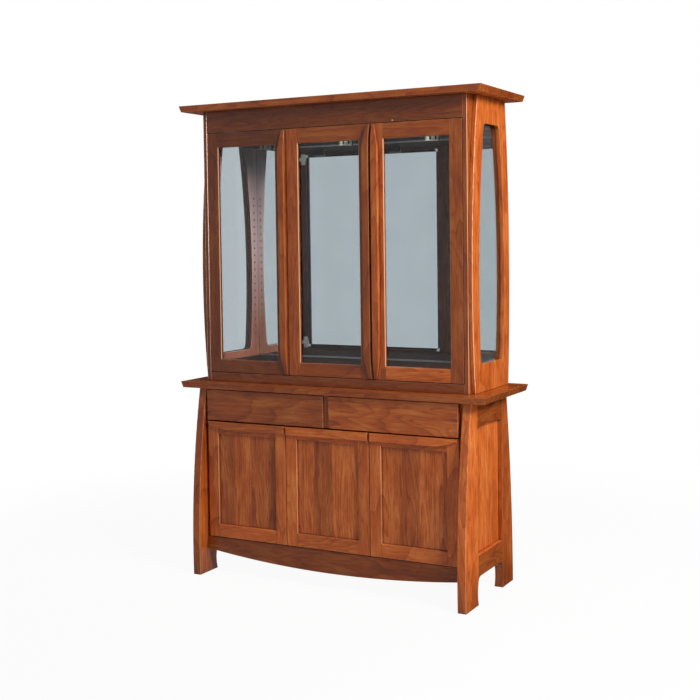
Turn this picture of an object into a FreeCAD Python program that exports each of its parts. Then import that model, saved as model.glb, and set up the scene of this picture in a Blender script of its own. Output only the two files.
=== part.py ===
import FreeCAD
import Part
import Sketcher
import os

# Dining dresser with a glazed hutch on a buffet base, in millimetres.
# X runs along the width, the front faces -Y, +Z is up.
# The origin lies on the floor under the middle of the bounding box.

V = FreeCAD.Vector
SHEET_NAME = "Sizes"

# Driving sizes: alias, value, what it measures
SIZE_ROWS = (
    ("TotalHeight", "2083", "floor to the top of the crown"),
    ("BaseHeight", "857", "floor to the top of the buffet top"),
    ("BaseTopThick", "27", "buffet top board"),
    ("BaseTopHalf", "733", "half width of the buffet top"),
    ("BaseTopFront", "232", "buffet top, origin to front edge"),
    ("BaseTopBack", "257", "buffet top, origin to back edge"),
    ("EdgeUndercut", "7", "slope of the board edges, top edge proud"),
    ("EdgeEase", "3", "round on the long edges that hands and light meet"),
    ("CrownThick", "26", "crown board"),
    ("CrownOverhang", "67.5", "crown beyond the end frames"),
    ("CrownFront", "224", "crown, origin to front edge"),
    ("CrownBack", "265", "crown, origin to back edge"),
    ("LegThick", "37.5", "end frame thickness"),
    ("TopOverhang", "73.5", "buffet top beyond the legs"),
    ("FootFront", "263.3", "front foot, origin to front edge"),
    ("FootBack", "256", "back foot, origin to back edge"),
    ("LegTopFront", "192.5", "front leg at the top, origin to front edge"),
    ("LegTopBack", "190", "back leg at the top, origin to back edge"),
    ("LegMidFront", "249", "front leg at mid height, origin to front edge"),
    ("LegMidBack", "236", "back leg at mid height, origin to back edge"),
    ("StileInner", "134", "inner edge of the legs, from the origin"),
    ("FootInner", "132", "inner edge of the foot at the floor"),
    ("AnkleInner", "140", "inner edge of the foot at the ankle"),
    ("AnkleHeight", "48", "height of the ankle"),
    ("SideRailTopHeight", "110", "upper side rail at its ends"),
    ("SideRailArch", "7", "rise of the upper side rail's arch"),
    ("SideRailLowTop", "203", "upper edge of the lower side rail"),
    ("SideRailLowBottom", "115", "lower edge of the lower side rail"),
    ("SideRailEar", "25", "radius where the lower rail runs into the legs"),
    ("SidePanelThick", "10", "end panel"),
    ("SidePanelInset", "19", "end panel behind the outer face"),
    ("GrooveDepth", "8", "panel groove"),
    ("GrooveSpare", "0.5", "room at the bottom of a panel groove"),
    ("BoardThick", "19", "carcass boards"),
    ("BackThick", "8", "base back panel"),
    ("CaseFront", "184", "carcass boards, origin to front edge"),
    ("CaseBack", "168", "carcass boards, origin to back edge"),
    ("CaseLow", "162", "underside of the base bottom board"),
    ("DrawerRoom", "140", "height of the drawer opening"),
    ("DividerThick", "20", "board between the drawers"),
    ("DividerFront", "204", "board between the drawers, origin to front edge"),
    ("ApronThick", "20", "curved apron"),
    ("ApronFront", "200", "apron, origin to front face"),
    ("ApronEndLow", "106", "lower edge of the apron at its ends"),
    ("ApronMidLow", "66", "lower edge of the apron at its middle"),
    ("FrontClear", "14", "drawer and door fronts to the legs"),
    ("DrawerFront", "209.5", "drawer front, origin to front face"),
    ("DrawerFrontThick", "22", "drawer front"),
    ("DrawerDrop", "2", "drawer front below its opening"),
    ("DrawerTopGap", "4", "drawer front below the buffet top"),
    ("DrawerMidHalf", "12", "drawer front to the middle of the base"),
    ("DrawerBoxLift", "12", "drawer box above the deck"),
    ("DrawerBoxHeight", "104", "drawer box"),
    ("DrawerBoxBack", "140", "drawer box, origin to back face"),
    ("DrawerBoxWall", "12", "drawer box sides"),
    ("DrawerBoxFloor", "8", "drawer box bottom"),
    ("RunnerThick", "12.6", "drawer runner"),
    ("RunnerGap", "0.3", "drawer box to runner"),
    ("RunnerLift", "48", "runner above the deck"),
    ("RunnerHeight", "34", "runner"),
    ("RunnerFront", "172", "runner, origin to front end"),
    ("RunnerBack", "132", "runner, origin to back end"),
    ("DoorFront", "204.5", "base doors, origin to front face"),
    ("DoorThick", "20", "base doors"),
    ("DoorGap", "3.2", "gap between neighbouring doors"),
    ("DoorLowGap", "4", "base door above the underside of the carcass"),
    ("DoorTopGap", "5", "base door below the drawer fronts"),
    ("DoorStile", "54", "base door stiles"),
    ("DoorTopRail", "55", "base door top rail"),
    ("DoorLowRail", "58", "base door bottom rail"),
    ("DoorPanelThick", "8", "base door panel"),
    ("DoorPanelInset", "9", "base door panel behind the front face"),
    ("RabbetWide", "8", "rabbet behind a door frame"),
    ("PaneSpare", "0.25", "room round a panel or pane in its rabbet"),
    ("FrameChamfer", "3", "bevel round the inside of a door frame"),
    ("LipHeight", "34", "lip pull along the top of a base door"),
    ("LipProud", "10", "lip pull before the door face"),
    ("LipEndHeight", "10", "lip pull at its outer end"),
    ("LipTaper", "100", "length over which the lip pull tapers"),
    ("LipNotchHalf", "4.5", "lip pull to its door's edge"),
    ("HutchInset", "22.5", "hutch side board inside the legs' outer faces"),
    ("HutchFront", "162", "hutch case, origin to front edge"),
    ("HutchBack", "246", "hutch case, origin to back face"),
    ("HutchBackThick", "6", "hutch back panel"),
    ("MirrorThick", "4", "mirror"),
    ("EndThick", "18", "bowed end frame of the hutch"),
    ("EndTopFront", "94", "end frame at the top, origin to front edge"),
    ("EndMidFront", "161", "end frame at its bow, origin to front edge"),
    ("EndLowFront", "136", "end frame at the bottom, origin to front edge"),
    ("EndTopBack", "208", "end frame at the top, origin to back edge"),
    ("EndMidBack", "249", "end frame at its bow, origin to back edge"),
    ("EndLowBack", "227", "end frame at the bottom, origin to back edge"),
    ("LightTopDrop", "108", "side light below the crown"),
    ("LightLowLift", "115", "side light above the buffet top"),
    ("LightTopFront", "30", "side light at the top, origin to front edge"),
    ("LightMidFront", "88", "side light at the bow, origin to front edge"),
    ("LightLowFront", "78", "side light at the bottom, origin to front edge"),
    ("LightTopBack", "136", "side light at the top, origin to back edge"),
    ("LightMidBack", "187", "side light at the bow, origin to back edge"),
    ("LightLowBack", "166", "side light at the bottom, origin to back edge"),
    ("LightCorner", "26", "corner radius of the side light"),
    ("PaneThick", "4", "glass panes"),
    ("PaneFront", "112", "side pane, origin to front edge"),
    ("PaneBack", "210", "side pane, origin to back edge"),
    ("PaneMargin", "14", "side pane beyond the side light"),
    ("FloorLift", "80", "upper face of the hutch floor above the buffet top"),
    ("CeilingDrop", "139", "lower face of the hutch ceiling below the crown"),
    ("ShelfFront", "139.6", "hutch floor and ceiling, origin to front edge"),
    ("RailThick", "22", "frieze rail, bottom rail and glazed doors"),
    ("BottomRailHeight", "40", "hutch bottom rail"),
    ("FriezeHeight", "94", "frieze rail"),
    ("GlazedClear", "3", "glazed doors to the case round them"),
    ("GlazedStile", "57", "glazed door stiles"),
    ("GlazedTopRail", "64", "glazed door top rail"),
    ("GlazedLowRail", "57", "glazed door bottom rail"),
    ("GlassInset", "13", "door glass behind the front face"),
    ("MullionHalf", "10", "half width of the hutch mullion"),
    ("MullionDeep", "64", "depth of the hutch mullion"),
    ("PullInset", "4", "pull to the door's free edge"),
    ("PullEndClear", "3", "pull to the door's top and bottom"),
    ("PullMidWide", "30", "pull between its tapers"),
    ("PullEndWide", "14", "pull at its ends"),
    ("PullMidProud", "17", "pull before the door face between its ends"),
    ("PullEndProud", "4", "pull before the door face at its ends"),
    ("PullTaper", "94", "length over which a pull narrows at each end"),
    ("PullSweep", "125", "length over which a pull sweeps to the door at each end"),
    ("HingeLowSet", "67", "lower hutch hinges above the foot of their door"),
    ("HingeTopSet", "73", "upper hutch hinges below the top of their door"),
    ("BaseHingeSet", "108.5", "base hinges to the ends of their door"),
    ("CupRadius", "17.2", "hinge cup"),
    ("CupBore", "17.5", "bore for a hinge cup"),
    ("CupDepth", "10", "hinge cup"),
    ("CupBoreDepth", "10.5", "bore for a hinge cup"),
    ("CupSet", "24", "hinge cup of a base door, door edge to its middle"),
    ("HutchCupSet", "31", "hinge cup of a hutch door, door edge to its middle"),
    ("FlangeWide", "24", "flange of a hinge cup"),
    ("FlangeTall", "54", "flange of a hinge cup"),
    ("FlangeThick", "1.2", "flange of a hinge cup"),
    ("PlateThick", "2.5", "hinge mounting plate"),
    ("PlateDeep", "22", "hinge mounting plate"),
    ("PlateTall", "56", "hinge mounting plate"),
    ("BasePlateBack", "64", "base hinge plates behind the door front"),
    ("HutchPlateBack", "56", "hutch hinge plates behind the door front"),
    ("ArmThick", "11", "hinge arm"),
    ("ArmTall", "16", "hinge arm"),
    ("ArmGap", "0.3", "hinge arm behind the flange of its cup"),
    ("KnuckleDeep", "9", "front of a hinge arm, along the depth"),
    ("KnuckleWide", "30", "front of a hinge arm, off the case"),
    ("PuckRadius", "31", "cabinet light"),
    ("PuckThick", "28", "cabinet light"),
    ("PuckBack", "2", "cabinet light behind the origin"),
)
QUARTER_MID_SHARE = 0.2929
LIP_MID_SHARE = 0.4
LIP_DROP_SHARE = 0.57
LEG_MID_SHARE = 0.5422
END_BOW_SHARE = 0.4108
PULL_SWEEP_SHARE = 0.25
NEAR = 0.01

doc = FreeCAD.newDocument("DresserWithHutch")
sheet = doc.addObject("Spreadsheet::Sheet", SHEET_NAME)
nodes = []


# A size that carries its number and the sheet expression for it
class Size:
    def __init__(self, value, text):
        self.value = value
        self.text = text

    def __add__(self, other):
        return Size(self.value + other.value, "(%s + %s)" % (self.text, other.text))

    def __sub__(self, other):
        return Size(self.value - other.value, "(%s - %s)" % (self.text, other.text))

    def __mul__(self, share):
        return Size(self.value * share, "(%s * %s)" % (self.text, share))

    def __truediv__(self, share):
        return Size(self.value / share, "(%s / %s)" % (self.text, share))

    def __neg__(self):
        return Size(-self.value, "(0 - %s)" % self.text)


ZERO = Size(0.0, "0")
s = {}
for row, (alias, number, note) in enumerate(SIZE_ROWS, start=1):
    sheet.set("A%d" % row, note)
    sheet.set("B%d" % row, number)
    sheet.setAlias("B%d" % row, alias)
    s[alias] = Size(float(number), "%s.%s" % (SHEET_NAME, alias))
doc.recompute()


def bind(thing, prop, size):
    thing.setExpression(prop, size.text)


def bind_place(thing, x, y, z):
    bind(thing, "Placement.Base.x", x)
    bind(thing, "Placement.Base.y", y)
    bind(thing, "Placement.Base.z", z)


def new_body(label, x, y, z):
    body = doc.addObject("PartDesign::Body", label)
    body.Label = label
    bind_place(body, x, y, z)
    return body


def keep(thing):
    nodes.append(thing)
    return thing


def origin_plane(body, role):
    for feature in body.Origin.OriginFeatures:
        if feature.Role == role:
            return feature
    raise RuntimeError("no origin feature " + role)


# Boxes inside a body, from low and high corners
def solid_box(body, kind, name, low, high):
    box = body.newObject("PartDesign::" + kind, name)
    for prop, lo, hi in zip(("Length", "Width", "Height"), low, high):
        bind(box, prop, hi - lo)
    bind_place(box, *low)
    return box


def board(label, low, high):
    body = new_body(label, *low)
    extent = [hi - lo for lo, hi in zip(low, high)]
    solid_box(body, "AdditiveBox", label + "_board", (ZERO, ZERO, ZERO), extent)
    return body


# Round bores and bosses with their axis along X or Y
def solid_cylinder(body, kind, name, base, radius, length, axis):
    turn = {"X": FreeCAD.Rotation(V(0, 1, 0), 90), "Y": FreeCAD.Rotation(V(1, 0, 0), -90)}[axis]
    cylinder = body.newObject("PartDesign::" + kind, name)
    cylinder.Placement = FreeCAD.Placement(V(), turn)
    bind(cylinder, "Radius", radius)
    bind(cylinder, "Height", length)
    bind_place(cylinder, *base)
    return cylinder


# Sketches made of closed loops of lines and three-point arcs
def fix_point(sketch, geometry, position, u, v):
    for kind, size, axis in (("DistanceX", u, -2), ("DistanceY", v, -1)):
        if size.text == ZERO.text:
            sketch.addConstraint(Sketcher.Constraint("PointOnObject", geometry, position, axis))
            continue
        index = sketch.addConstraint(
            Sketcher.Constraint(kind, -1, 1, geometry, position, size.value))
        sketch.setExpression("Constraints[%d]" % index, size.text)


def draw_loop(sketch, corners):
    ends = []
    count = len(corners)
    for i, (u, v, via) in enumerate(corners):
        nu, nv, _ = corners[(i + 1) % count]
        first = V(u.value, v.value, 0)
        last = V(nu.value, nv.value, 0)
        if via is None:
            ends.append((sketch.addGeometry(Part.LineSegment(first, last), False), 1, 2))
            continue
        middle = V(via[0].value, via[1].value, 0)
        leftward = (middle - first).cross(last - first).z > 0
        points = (first, middle, last) if leftward else (last, middle, first)
        arc = sketch.addGeometry(Part.Arc(*points), False)
        ends.append((arc, 1, 2) if leftward else (arc, 2, 1))
        spot = sketch.addGeometry(Part.Point(middle), True)
        fix_point(sketch, spot, 1, *via)
        sketch.addConstraint(Sketcher.Constraint("PointOnObject", spot, 1, arc))
    for i, (u, v, via) in enumerate(corners):
        geometry, start, _ = ends[i]
        before, _, stop = ends[i - 1]
        sketch.addConstraint(Sketcher.Constraint("Coincident", before, stop, geometry, start))
        fix_point(sketch, geometry, start, u, v)


def profile(body, name, role, loops):
    sketch = body.newObject("Sketcher::SketchObject", name)
    sketch.AttachmentSupport = (origin_plane(body, role), [""])
    sketch.MapMode = "FlatFace"
    for corners in loops:
        draw_loop(sketch, corners)
    return sketch


def pad(body, name, sketch, length):
    feature = body.newObject("PartDesign::Pad", name)
    feature.Profile = sketch
    bind(feature, "Length", length)
    return feature


# A plate cut to an outline in the YZ plane, thickness along +X
def side_plate(label, x_low, thick, loops):
    body = new_body(label, x_low, ZERO, ZERO)
    pad(body, label + "_pad", profile(body, label + "_outline", "YZ_Plane", loops), thick)
    return body


def edges_where(shape, test):
    return ["Edge%d" % i for i, edge in enumerate(shape.Edges, start=1) if test(edge)]


def along_x(edge):
    a, b = [v.Point for v in edge.Vertexes] if len(edge.Vertexes) == 2 else (V(), V())
    return abs(a.x - b.x) > 1e-3 and (a - b).cross(V(1, 0, 0)).Length < 1e-3


# Rounds the edges of a body's last feature that a test picks
def ease(body, test):
    doc.recompute()
    base = body.Tip
    rounding = body.newObject("PartDesign::Fillet", body.Label + "_eased")
    rounding.Base = (base, edges_where(base.Shape, test))
    bind(rounding, "Radius", s["EdgeEase"])
    return body


def group(label, members):
    bundle = doc.addObject("Part::Compound", label)
    bundle.Label = label
    bundle.Links = members
    return bundle


# Levels and widths that follow from the driving sizes
leg_outer = s["BaseTopHalf"] - s["TopOverhang"]
half = leg_outer - s["LegThick"]
case_inner = half - s["BoardThick"]
front_half = half - s["FrontClear"]
case_top = s["BaseHeight"] - s["BaseTopThick"]
leg_mid = case_top * LEG_MID_SHARE
side_rail_low = case_top - s["SideRailTopHeight"]
floor_top = s["CaseLow"] + s["BoardThick"]
deck_top = case_top - s["DrawerRoom"]
deck_low = deck_top - s["BoardThick"]
drawer_low = deck_top - s["DrawerDrop"]
door_low = s["CaseLow"] + s["DoorLowGap"]
door_high = drawer_low - s["DoorTopGap"]
hutch_half = leg_outer - s["HutchInset"]
hutch_inner = hutch_half - s["BoardThick"]
crown_half = hutch_half + s["EndThick"] + s["CrownOverhang"]
crown_low = s["TotalHeight"] - s["CrownThick"]
frieze_low = crown_low - s["FriezeHeight"]
rail_top = s["BaseHeight"] + s["BottomRailHeight"]
glazed_high = frieze_low - s["GlazedClear"]
glazed_low = rail_top + s["GlazedClear"]
shelf_top = s["BaseHeight"] + s["FloorLift"]
ceiling_low = crown_low - s["CeilingDrop"]
light_top = crown_low - s["LightTopDrop"]
light_low = s["BaseHeight"] + s["LightLowLift"]
end_bow = s["BaseHeight"] + (crown_low - s["BaseHeight"]) * END_BOW_SHARE
sides = (("left", -1), ("right", 1))


# A board with sloping edges, its top edge proud of its bottom edge
def sloped_top(label, half_width, front, back, top, thick):
    wedge = doc.addObject("Part::Wedge", label)
    wedge.Label = label
    slope = s["EdgeUndercut"]
    wedge.Placement = FreeCAD.Placement(V(), FreeCAD.Rotation(V(1, 0, 0), 90))
    for prop, size in (
        ("Ymin", ZERO), ("Ymax", thick),
        ("Xmin", slope - half_width), ("Xmax", half_width - slope),
        ("Zmin", slope - back), ("Zmax", front - slope),
        ("X2min", -half_width), ("X2max", half_width),
        ("Z2min", -back), ("Z2max", front),
    ):
        bind(wedge, prop, size)
    bind(wedge, "Placement.Base.z", top - thick)
    return keep(wedge)


# Base: flared legs, rails and panels of the two end frames
sloped_top("base_top", s["BaseTopHalf"], s["BaseTopFront"], s["BaseTopBack"], s["BaseHeight"],
           s["BaseTopThick"])
panel_low = s["SideRailLowTop"] - s["GrooveDepth"]
panel_high = side_rail_low + s["SideRailArch"] + s["GrooveDepth"]
ear_top = s["SideRailLowBottom"]
ear_low = s["SideRailLowBottom"] - s["SideRailEar"]
ear_in = s["StileInner"] - s["SideRailEar"]
ear_mid_y = s["StileInner"] - s["SideRailEar"] * QUARTER_MID_SHARE
ear_mid_z = s["SideRailLowBottom"] - s["SideRailEar"] * QUARTER_MID_SHARE
leg_core = s["StileInner"] + s["GrooveDepth"] * 2


def leg_outside(edge):
    box = edge.BoundBox
    return box.ZLength > leg_mid.value and (box.YMax < -leg_core.value or box.YMin > leg_core.value)


for side, sign in sides:
    x_low = half if sign > 0 else -leg_outer
    if sign > 0:
        groove_low = s["LegThick"] - s["SidePanelInset"] - s["SidePanelThick"]
    else:
        groove_low = s["SidePanelInset"]
    groove_high = groove_low + s["SidePanelThick"]

    def groove(body, y_low, y_high, z_low, z_high):
        solid_box(body, "SubtractiveBox", body.Label + "_groove",
                  (groove_low, y_low, z_low), (groove_high, y_high, z_high))

    leg = side_plate("leg_front_" + side, x_low, s["LegThick"], [[
        (-s["FootFront"], ZERO, None),
        (-s["FootInner"], ZERO, (-s["AnkleInner"], s["AnkleHeight"])),
        (-s["StileInner"], ear_low, None),
        (-s["StileInner"], case_top, None),
        (-s["LegTopFront"], case_top, (-s["LegMidFront"], leg_mid)),
    ]])
    groove(leg, -(s["StileInner"] + s["GrooveDepth"]), -s["StileInner"], panel_low, panel_high)
    keep(ease(leg, leg_outside))
    leg = side_plate("leg_back_" + side, x_low, s["LegThick"], [[
        (s["FootInner"], ZERO, None),
        (s["FootBack"], ZERO, (s["LegMidBack"], leg_mid)),
        (s["LegTopBack"], case_top, None),
        (s["StileInner"], case_top, None),
        (s["StileInner"], ear_low, (s["AnkleInner"], s["AnkleHeight"])),
    ]])
    groove(leg, s["StileInner"], s["StileInner"] + s["GrooveDepth"], panel_low, panel_high)
    keep(ease(leg, leg_outside))
    rail = side_plate("side_rail_top_" + side, x_low, s["LegThick"], [[
        (-s["StileInner"], side_rail_low, (ZERO, side_rail_low + s["SideRailArch"])),
        (s["StileInner"], side_rail_low, None),
        (s["StileInner"], case_top, None),
        (-s["StileInner"], case_top, None),
    ]])
    groove(rail, -s["StileInner"], s["StileInner"], side_rail_low - s["GrooveDepth"], panel_high)
    keep(rail)
    rail = side_plate("side_rail_bottom_" + side, x_low, s["LegThick"], [[
        (-s["StileInner"], ear_low, (-ear_mid_y, ear_mid_z)),
        (-ear_in, ear_top, None),
        (ear_in, ear_top, (ear_mid_y, ear_mid_z)),
        (s["StileInner"], ear_low, None),
        (s["StileInner"], s["SideRailLowTop"], None),
        (-s["StileInner"], s["SideRailLowTop"], None),
    ]])
    groove(rail, -s["StileInner"], s["StileInner"], panel_low, s["SideRailLowTop"])
    keep(rail)
    panel_reach = s["StileInner"] + s["GrooveDepth"] - s["GrooveSpare"]
    keep(board("side_panel_" + side,
               (x_low + groove_low, -panel_reach, panel_low + s["GrooveSpare"]),
               (x_low + groove_high, panel_reach, panel_high - s["GrooveSpare"])))

# Base: carcass boards
both_sides = []
for side, sign in sides:
    x_low = case_inner if sign > 0 else -half
    both_sides.append(board("base_side_" + side, (x_low, -s["CaseFront"], s["CaseLow"]),
                            (x_low + s["BoardThick"], s["CaseBack"], case_top)))
keep(group("base_sides", both_sides))
keep(board("base_bottom", (-case_inner, -s["CaseFront"], s["CaseLow"]),
           (case_inner, s["CaseBack"], floor_top)))
keep(board("base_back", (-half, s["CaseBack"], s["CaseLow"]),
           (half, s["CaseBack"] + s["BackThick"], case_top)))
keep(board("drawer_deck", (-case_inner, -s["CaseFront"], deck_low),
           (case_inner, s["CaseBack"], deck_top)))
keep(board("drawer_divider", (-s["DividerThick"] / 2, -s["DividerFront"], deck_top),
           (s["DividerThick"] / 2, s["CaseBack"], case_top)))
door_wide = (front_half * 2 - s["DoorGap"] * 2) / 3
door_edge = door_wide / 2 + s["DoorGap"] / 2
partitions = []
for side, sign in sides:
    x_mid = door_edge if sign > 0 else -door_edge
    partitions.append(board("base_partition_" + side,
                            (x_mid - s["BoardThick"] / 2, -s["CaseFront"], floor_top),
                            (x_mid + s["BoardThick"] / 2, s["CaseBack"], deck_low)))
keep(group("base_partitions", partitions))
apron = new_body("apron", ZERO, s["ApronThick"] - s["ApronFront"], ZERO)
pad(apron, "apron_pad", profile(apron, "apron_outline", "XZ_Plane", [[
    (-half, s["CaseLow"], None),
    (-half, s["ApronEndLow"], (ZERO, s["ApronMidLow"])),
    (half, s["ApronEndLow"], None),
    (half, s["CaseLow"], None),
]]), s["ApronThick"])
keep(apron)

# Drawers on side runners
def front_face(edge):
    return edge.BoundBox.YMax < NEAR


drawer_back = s["DrawerFrontThick"] - s["DrawerFront"]
box_in = s["DividerThick"] / 2 + s["RunnerThick"] + s["RunnerGap"]
box_out = case_inner - s["RunnerThick"] - s["RunnerGap"]
runners = []
for side, sign in sides:
    f_low, f_high = s["DrawerMidHalf"], front_half
    b_low, b_high = box_in, box_out
    r_rows = ((s["DividerThick"] / 2, "inner"), (case_inner - s["RunnerThick"], "outer"))
    if sign < 0:
        f_low, f_high = -f_high, -f_low
        b_low, b_high = -b_high, -b_low
        r_rows = tuple((-(x + s["RunnerThick"]), name) for x, name in r_rows)
    keep(ease(board("drawer_front_" + side, (f_low, -s["DrawerFront"], drawer_low),
                    (f_high, drawer_back, case_top - s["DrawerTopGap"])), front_face))
    box_low = deck_top + s["DrawerBoxLift"]
    box = board("drawer_box_" + side, (b_low, drawer_back, box_low),
                (b_high, s["DrawerBoxBack"], box_low + s["DrawerBoxHeight"]))
    wall = s["DrawerBoxWall"]
    solid_box(box, "SubtractiveBox", "drawer_room_" + side, (wall, wall, s["DrawerBoxFloor"]),
              (b_high - b_low - wall, s["DrawerBoxBack"] - drawer_back - wall, s["DrawerBoxHeight"]))
    keep(box)
    for x_low, name in r_rows:
        run_low = deck_top + s["RunnerLift"]
        runners.append(board("runner_%s_%s" % (side, name), (x_low, -s["RunnerFront"], run_low),
                             (x_low + s["RunnerThick"], s["RunnerBack"], run_low + s["RunnerHeight"])))
keep(group("drawer_runners", runners))


# A door frame with a rabbet behind, bores for two hinge cups and a bevelled opening
def door_frame(label, x_low, wide, front, thick, z_low, z_high, stile, low_rail, top_rail, shoulder,
               hinge_x, hinge_heights):
    body = new_body(label, x_low, -front, z_low)
    tall = z_high - z_low
    solid_box(body, "AdditiveBox", label + "_blank", (ZERO, ZERO, ZERO), (wide, thick, tall))
    hole = solid_box(body, "SubtractiveBox", label + "_opening", (stile, ZERO, low_rail),
                     (wide - stile, thick, tall - top_rail))
    doc.recompute()

    def inner_front(edge):
        ends = [v.Point for v in edge.Vertexes]
        return all(abs(p.y) < 1e-3 and stile.value - 1 < p.x < (wide - stile).value + 1
                   and low_rail.value - 1 < p.z < (tall - top_rail).value + 1 for p in ends)

    bevel = body.newObject("PartDesign::Chamfer", label + "_bevel")
    bevel.Base = (hole, edges_where(hole.Shape, inner_front))
    bind(bevel, "Size", s["FrameChamfer"])
    reach = s["RabbetWide"]
    solid_box(body, "SubtractiveBox", label + "_rabbet", (stile - reach, shoulder, low_rail - reach),
              (wide - stile + reach, thick, tall - top_rail + reach))
    for name, height in zip(("low", "high"), hinge_heights):
        solid_cylinder(body, "SubtractiveCylinder", label + "_bore_" + name,
                       (hinge_x, thick - s["CupBoreDepth"], height - z_low),
                       s["CupBore"], s["CupBoreDepth"], "Y")
    return body


# The sheet of glass or wood that lies in a frame's rabbet
def door_pane(label, x_low, wide, front, z_low, z_high, stile, low_rail, top_rail, shoulder, pane):
    reach = s["RabbetWide"] - s["PaneSpare"]
    return keep(board(label, (x_low + stile - reach, shoulder - front, z_low + low_rail - reach),
                      (x_low + wide - stile + reach, shoulder - front + pane, z_high - top_rail + reach)))


# Concealed hinges: cups in the door, plates with arms on the case
def hinge_cups(label, x_mid, back_face, heights):
    cups = []
    for name, height in zip(("low", "high"), heights):
        cup = new_body(label + "_" + name, x_mid, back_face, height)
        solid_cylinder(cup, "AdditiveCylinder", cup.Label + "_cup", (ZERO, -s["CupDepth"], ZERO),
                       s["CupRadius"], s["CupDepth"], "Y")
        solid_box(cup, "AdditiveBox", cup.Label + "_flange",
                  (-s["FlangeWide"] / 2, ZERO, -s["FlangeTall"] / 2),
                  (s["FlangeWide"] / 2, s["FlangeThick"], s["FlangeTall"] / 2))
        cups.append(cup)
    return keep(group(label, cups))


plates = []


def hinge_plates(label, face_x, sign, plate_front, arm_front, heights):
    def strip(body, name, out, y_low, y_high, tall):
        far = out * sign
        low_x, high_x = (ZERO, far) if sign > 0 else (far, ZERO)
        solid_box(body, "AdditiveBox", "%s_%s" % (body.Label, name), (low_x, y_low, -tall / 2),
                  (high_x, y_high, tall / 2))

    plate_back = plate_front + s["PlateDeep"]
    for name, height in zip(("low", "high"), heights):
        plate = new_body("%s_%s" % (label, name), face_x, ZERO, height)
        strip(plate, "plate", s["PlateThick"], plate_front, plate_back, s["PlateTall"])
        strip(plate, "arm", s["ArmThick"], arm_front, plate_back, s["ArmTall"])
        strip(plate, "knuckle", s["KnuckleWide"], arm_front, arm_front + s["KnuckleDeep"], s["ArmTall"])
        plates.append(plate)


# Base doors with lip pulls that taper towards the legs
base_heights = (door_low + s["BaseHingeSet"], door_high - s["BaseHingeSet"])
shoulder = s["DoorPanelInset"]
for column, place in enumerate(("left", "middle", "right")):
    x_low = -front_half + (door_wide + s["DoorGap"]) * column
    hinge_left = place != "right"
    cup_x = s["CupSet"] if hinge_left else door_wide - s["CupSet"]
    door = door_frame("base_door_" + place, x_low, door_wide, s["DoorFront"], s["DoorThick"],
                      door_low, door_high, s["DoorStile"], s["DoorLowRail"], s["DoorTopRail"],
                      shoulder, cup_x, base_heights)
    top = door_high - door_low
    low = top - s["LipHeight"]
    end = s["LipNotchHalf"]
    stop = door_wide - end
    tip = top - s["LipEndHeight"]
    bend = s["LipTaper"] * LIP_MID_SHARE
    drop = tip - (s["LipHeight"] - s["LipEndHeight"]) * LIP_DROP_SHARE
    if place == "left":
        loop = [(end, top, None), (end, tip, (end + bend, drop)), (end + s["LipTaper"], low, None),
                (stop, low, None), (stop, top, None)]
    elif place == "right":
        loop = [(end, top, None), (end, low, None), (stop - s["LipTaper"], low, (stop - bend, drop)),
                (stop, tip, None), (stop, top, None)]
    else:
        loop = [(end, top, None), (end, low, None), (stop, low, None), (stop, top, None)]
    pad(door, "lip_" + place, profile(door, "lip_outline_" + place, "XZ_Plane", [loop]), s["LipProud"])
    keep(door)
    door_pane("base_panel_" + place, x_low, door_wide, s["DoorFront"], door_low, door_high,
              s["DoorStile"], s["DoorLowRail"], s["DoorTopRail"], shoulder, s["DoorPanelThick"])
    hinge_cups("base_hinges_" + place, x_low + cup_x, s["DoorThick"] - s["DoorFront"], base_heights)
plate_y = s["BasePlateBack"] - s["DoorFront"]
arm_y = s["DoorThick"] + s["FlangeThick"] + s["ArmGap"] - s["DoorFront"]
hinge_plates("base_plate_left", -case_inner, 1, plate_y, arm_y, base_heights)
hinge_plates("base_plate_middle", s["BoardThick"] / 2 - door_edge, 1, plate_y, arm_y, base_heights)
hinge_plates("base_plate_right", case_inner, -1, plate_y, arm_y, base_heights)

# Hutch: crown, case sides, bowed end frames and their panes
sloped_top("crown", crown_half, s["CrownFront"], s["CrownBack"], s["TotalHeight"], s["CrownThick"])
light = [
    (-s["LightLowFront"], light_low, None),
    (s["LightLowBack"], light_low, (s["LightMidBack"], end_bow)),
    (s["LightTopBack"], light_top, None),
    (-s["LightTopFront"], light_top, (-s["LightMidFront"], end_bow)),
]
bow = [
    (-s["EndLowFront"], s["BaseHeight"], None),
    (s["EndLowBack"], s["BaseHeight"], (s["EndMidBack"], end_bow)),
    (s["EndTopBack"], crown_low, None),
    (-s["EndTopFront"], crown_low, (-s["EndMidFront"], end_bow)),
]
case = [
    (-s["HutchFront"], s["BaseHeight"], None),
    (s["HutchBack"], s["BaseHeight"], None),
    (s["HutchBack"], crown_low, None),
    (-s["HutchFront"], crown_low, None),
]


# Rounds the four corners of the side light in a plate
def round_light(body):
    doc.recompute()
    base = body.Tip

    def light_corner(edge):
        if not along_x(edge):
            return False
        spot = edge.Vertexes[0].Point
        return any(abs(spot.y - u.value) < 1 and abs(spot.z - v.value) < 1 for u, v, via in light)

    rounding = body.newObject("PartDesign::Fillet", body.Label + "_corners")
    rounding.Base = (base, edges_where(base.Shape, light_corner))
    bind(rounding, "Radius", s["LightCorner"])
    return rounding


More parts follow.
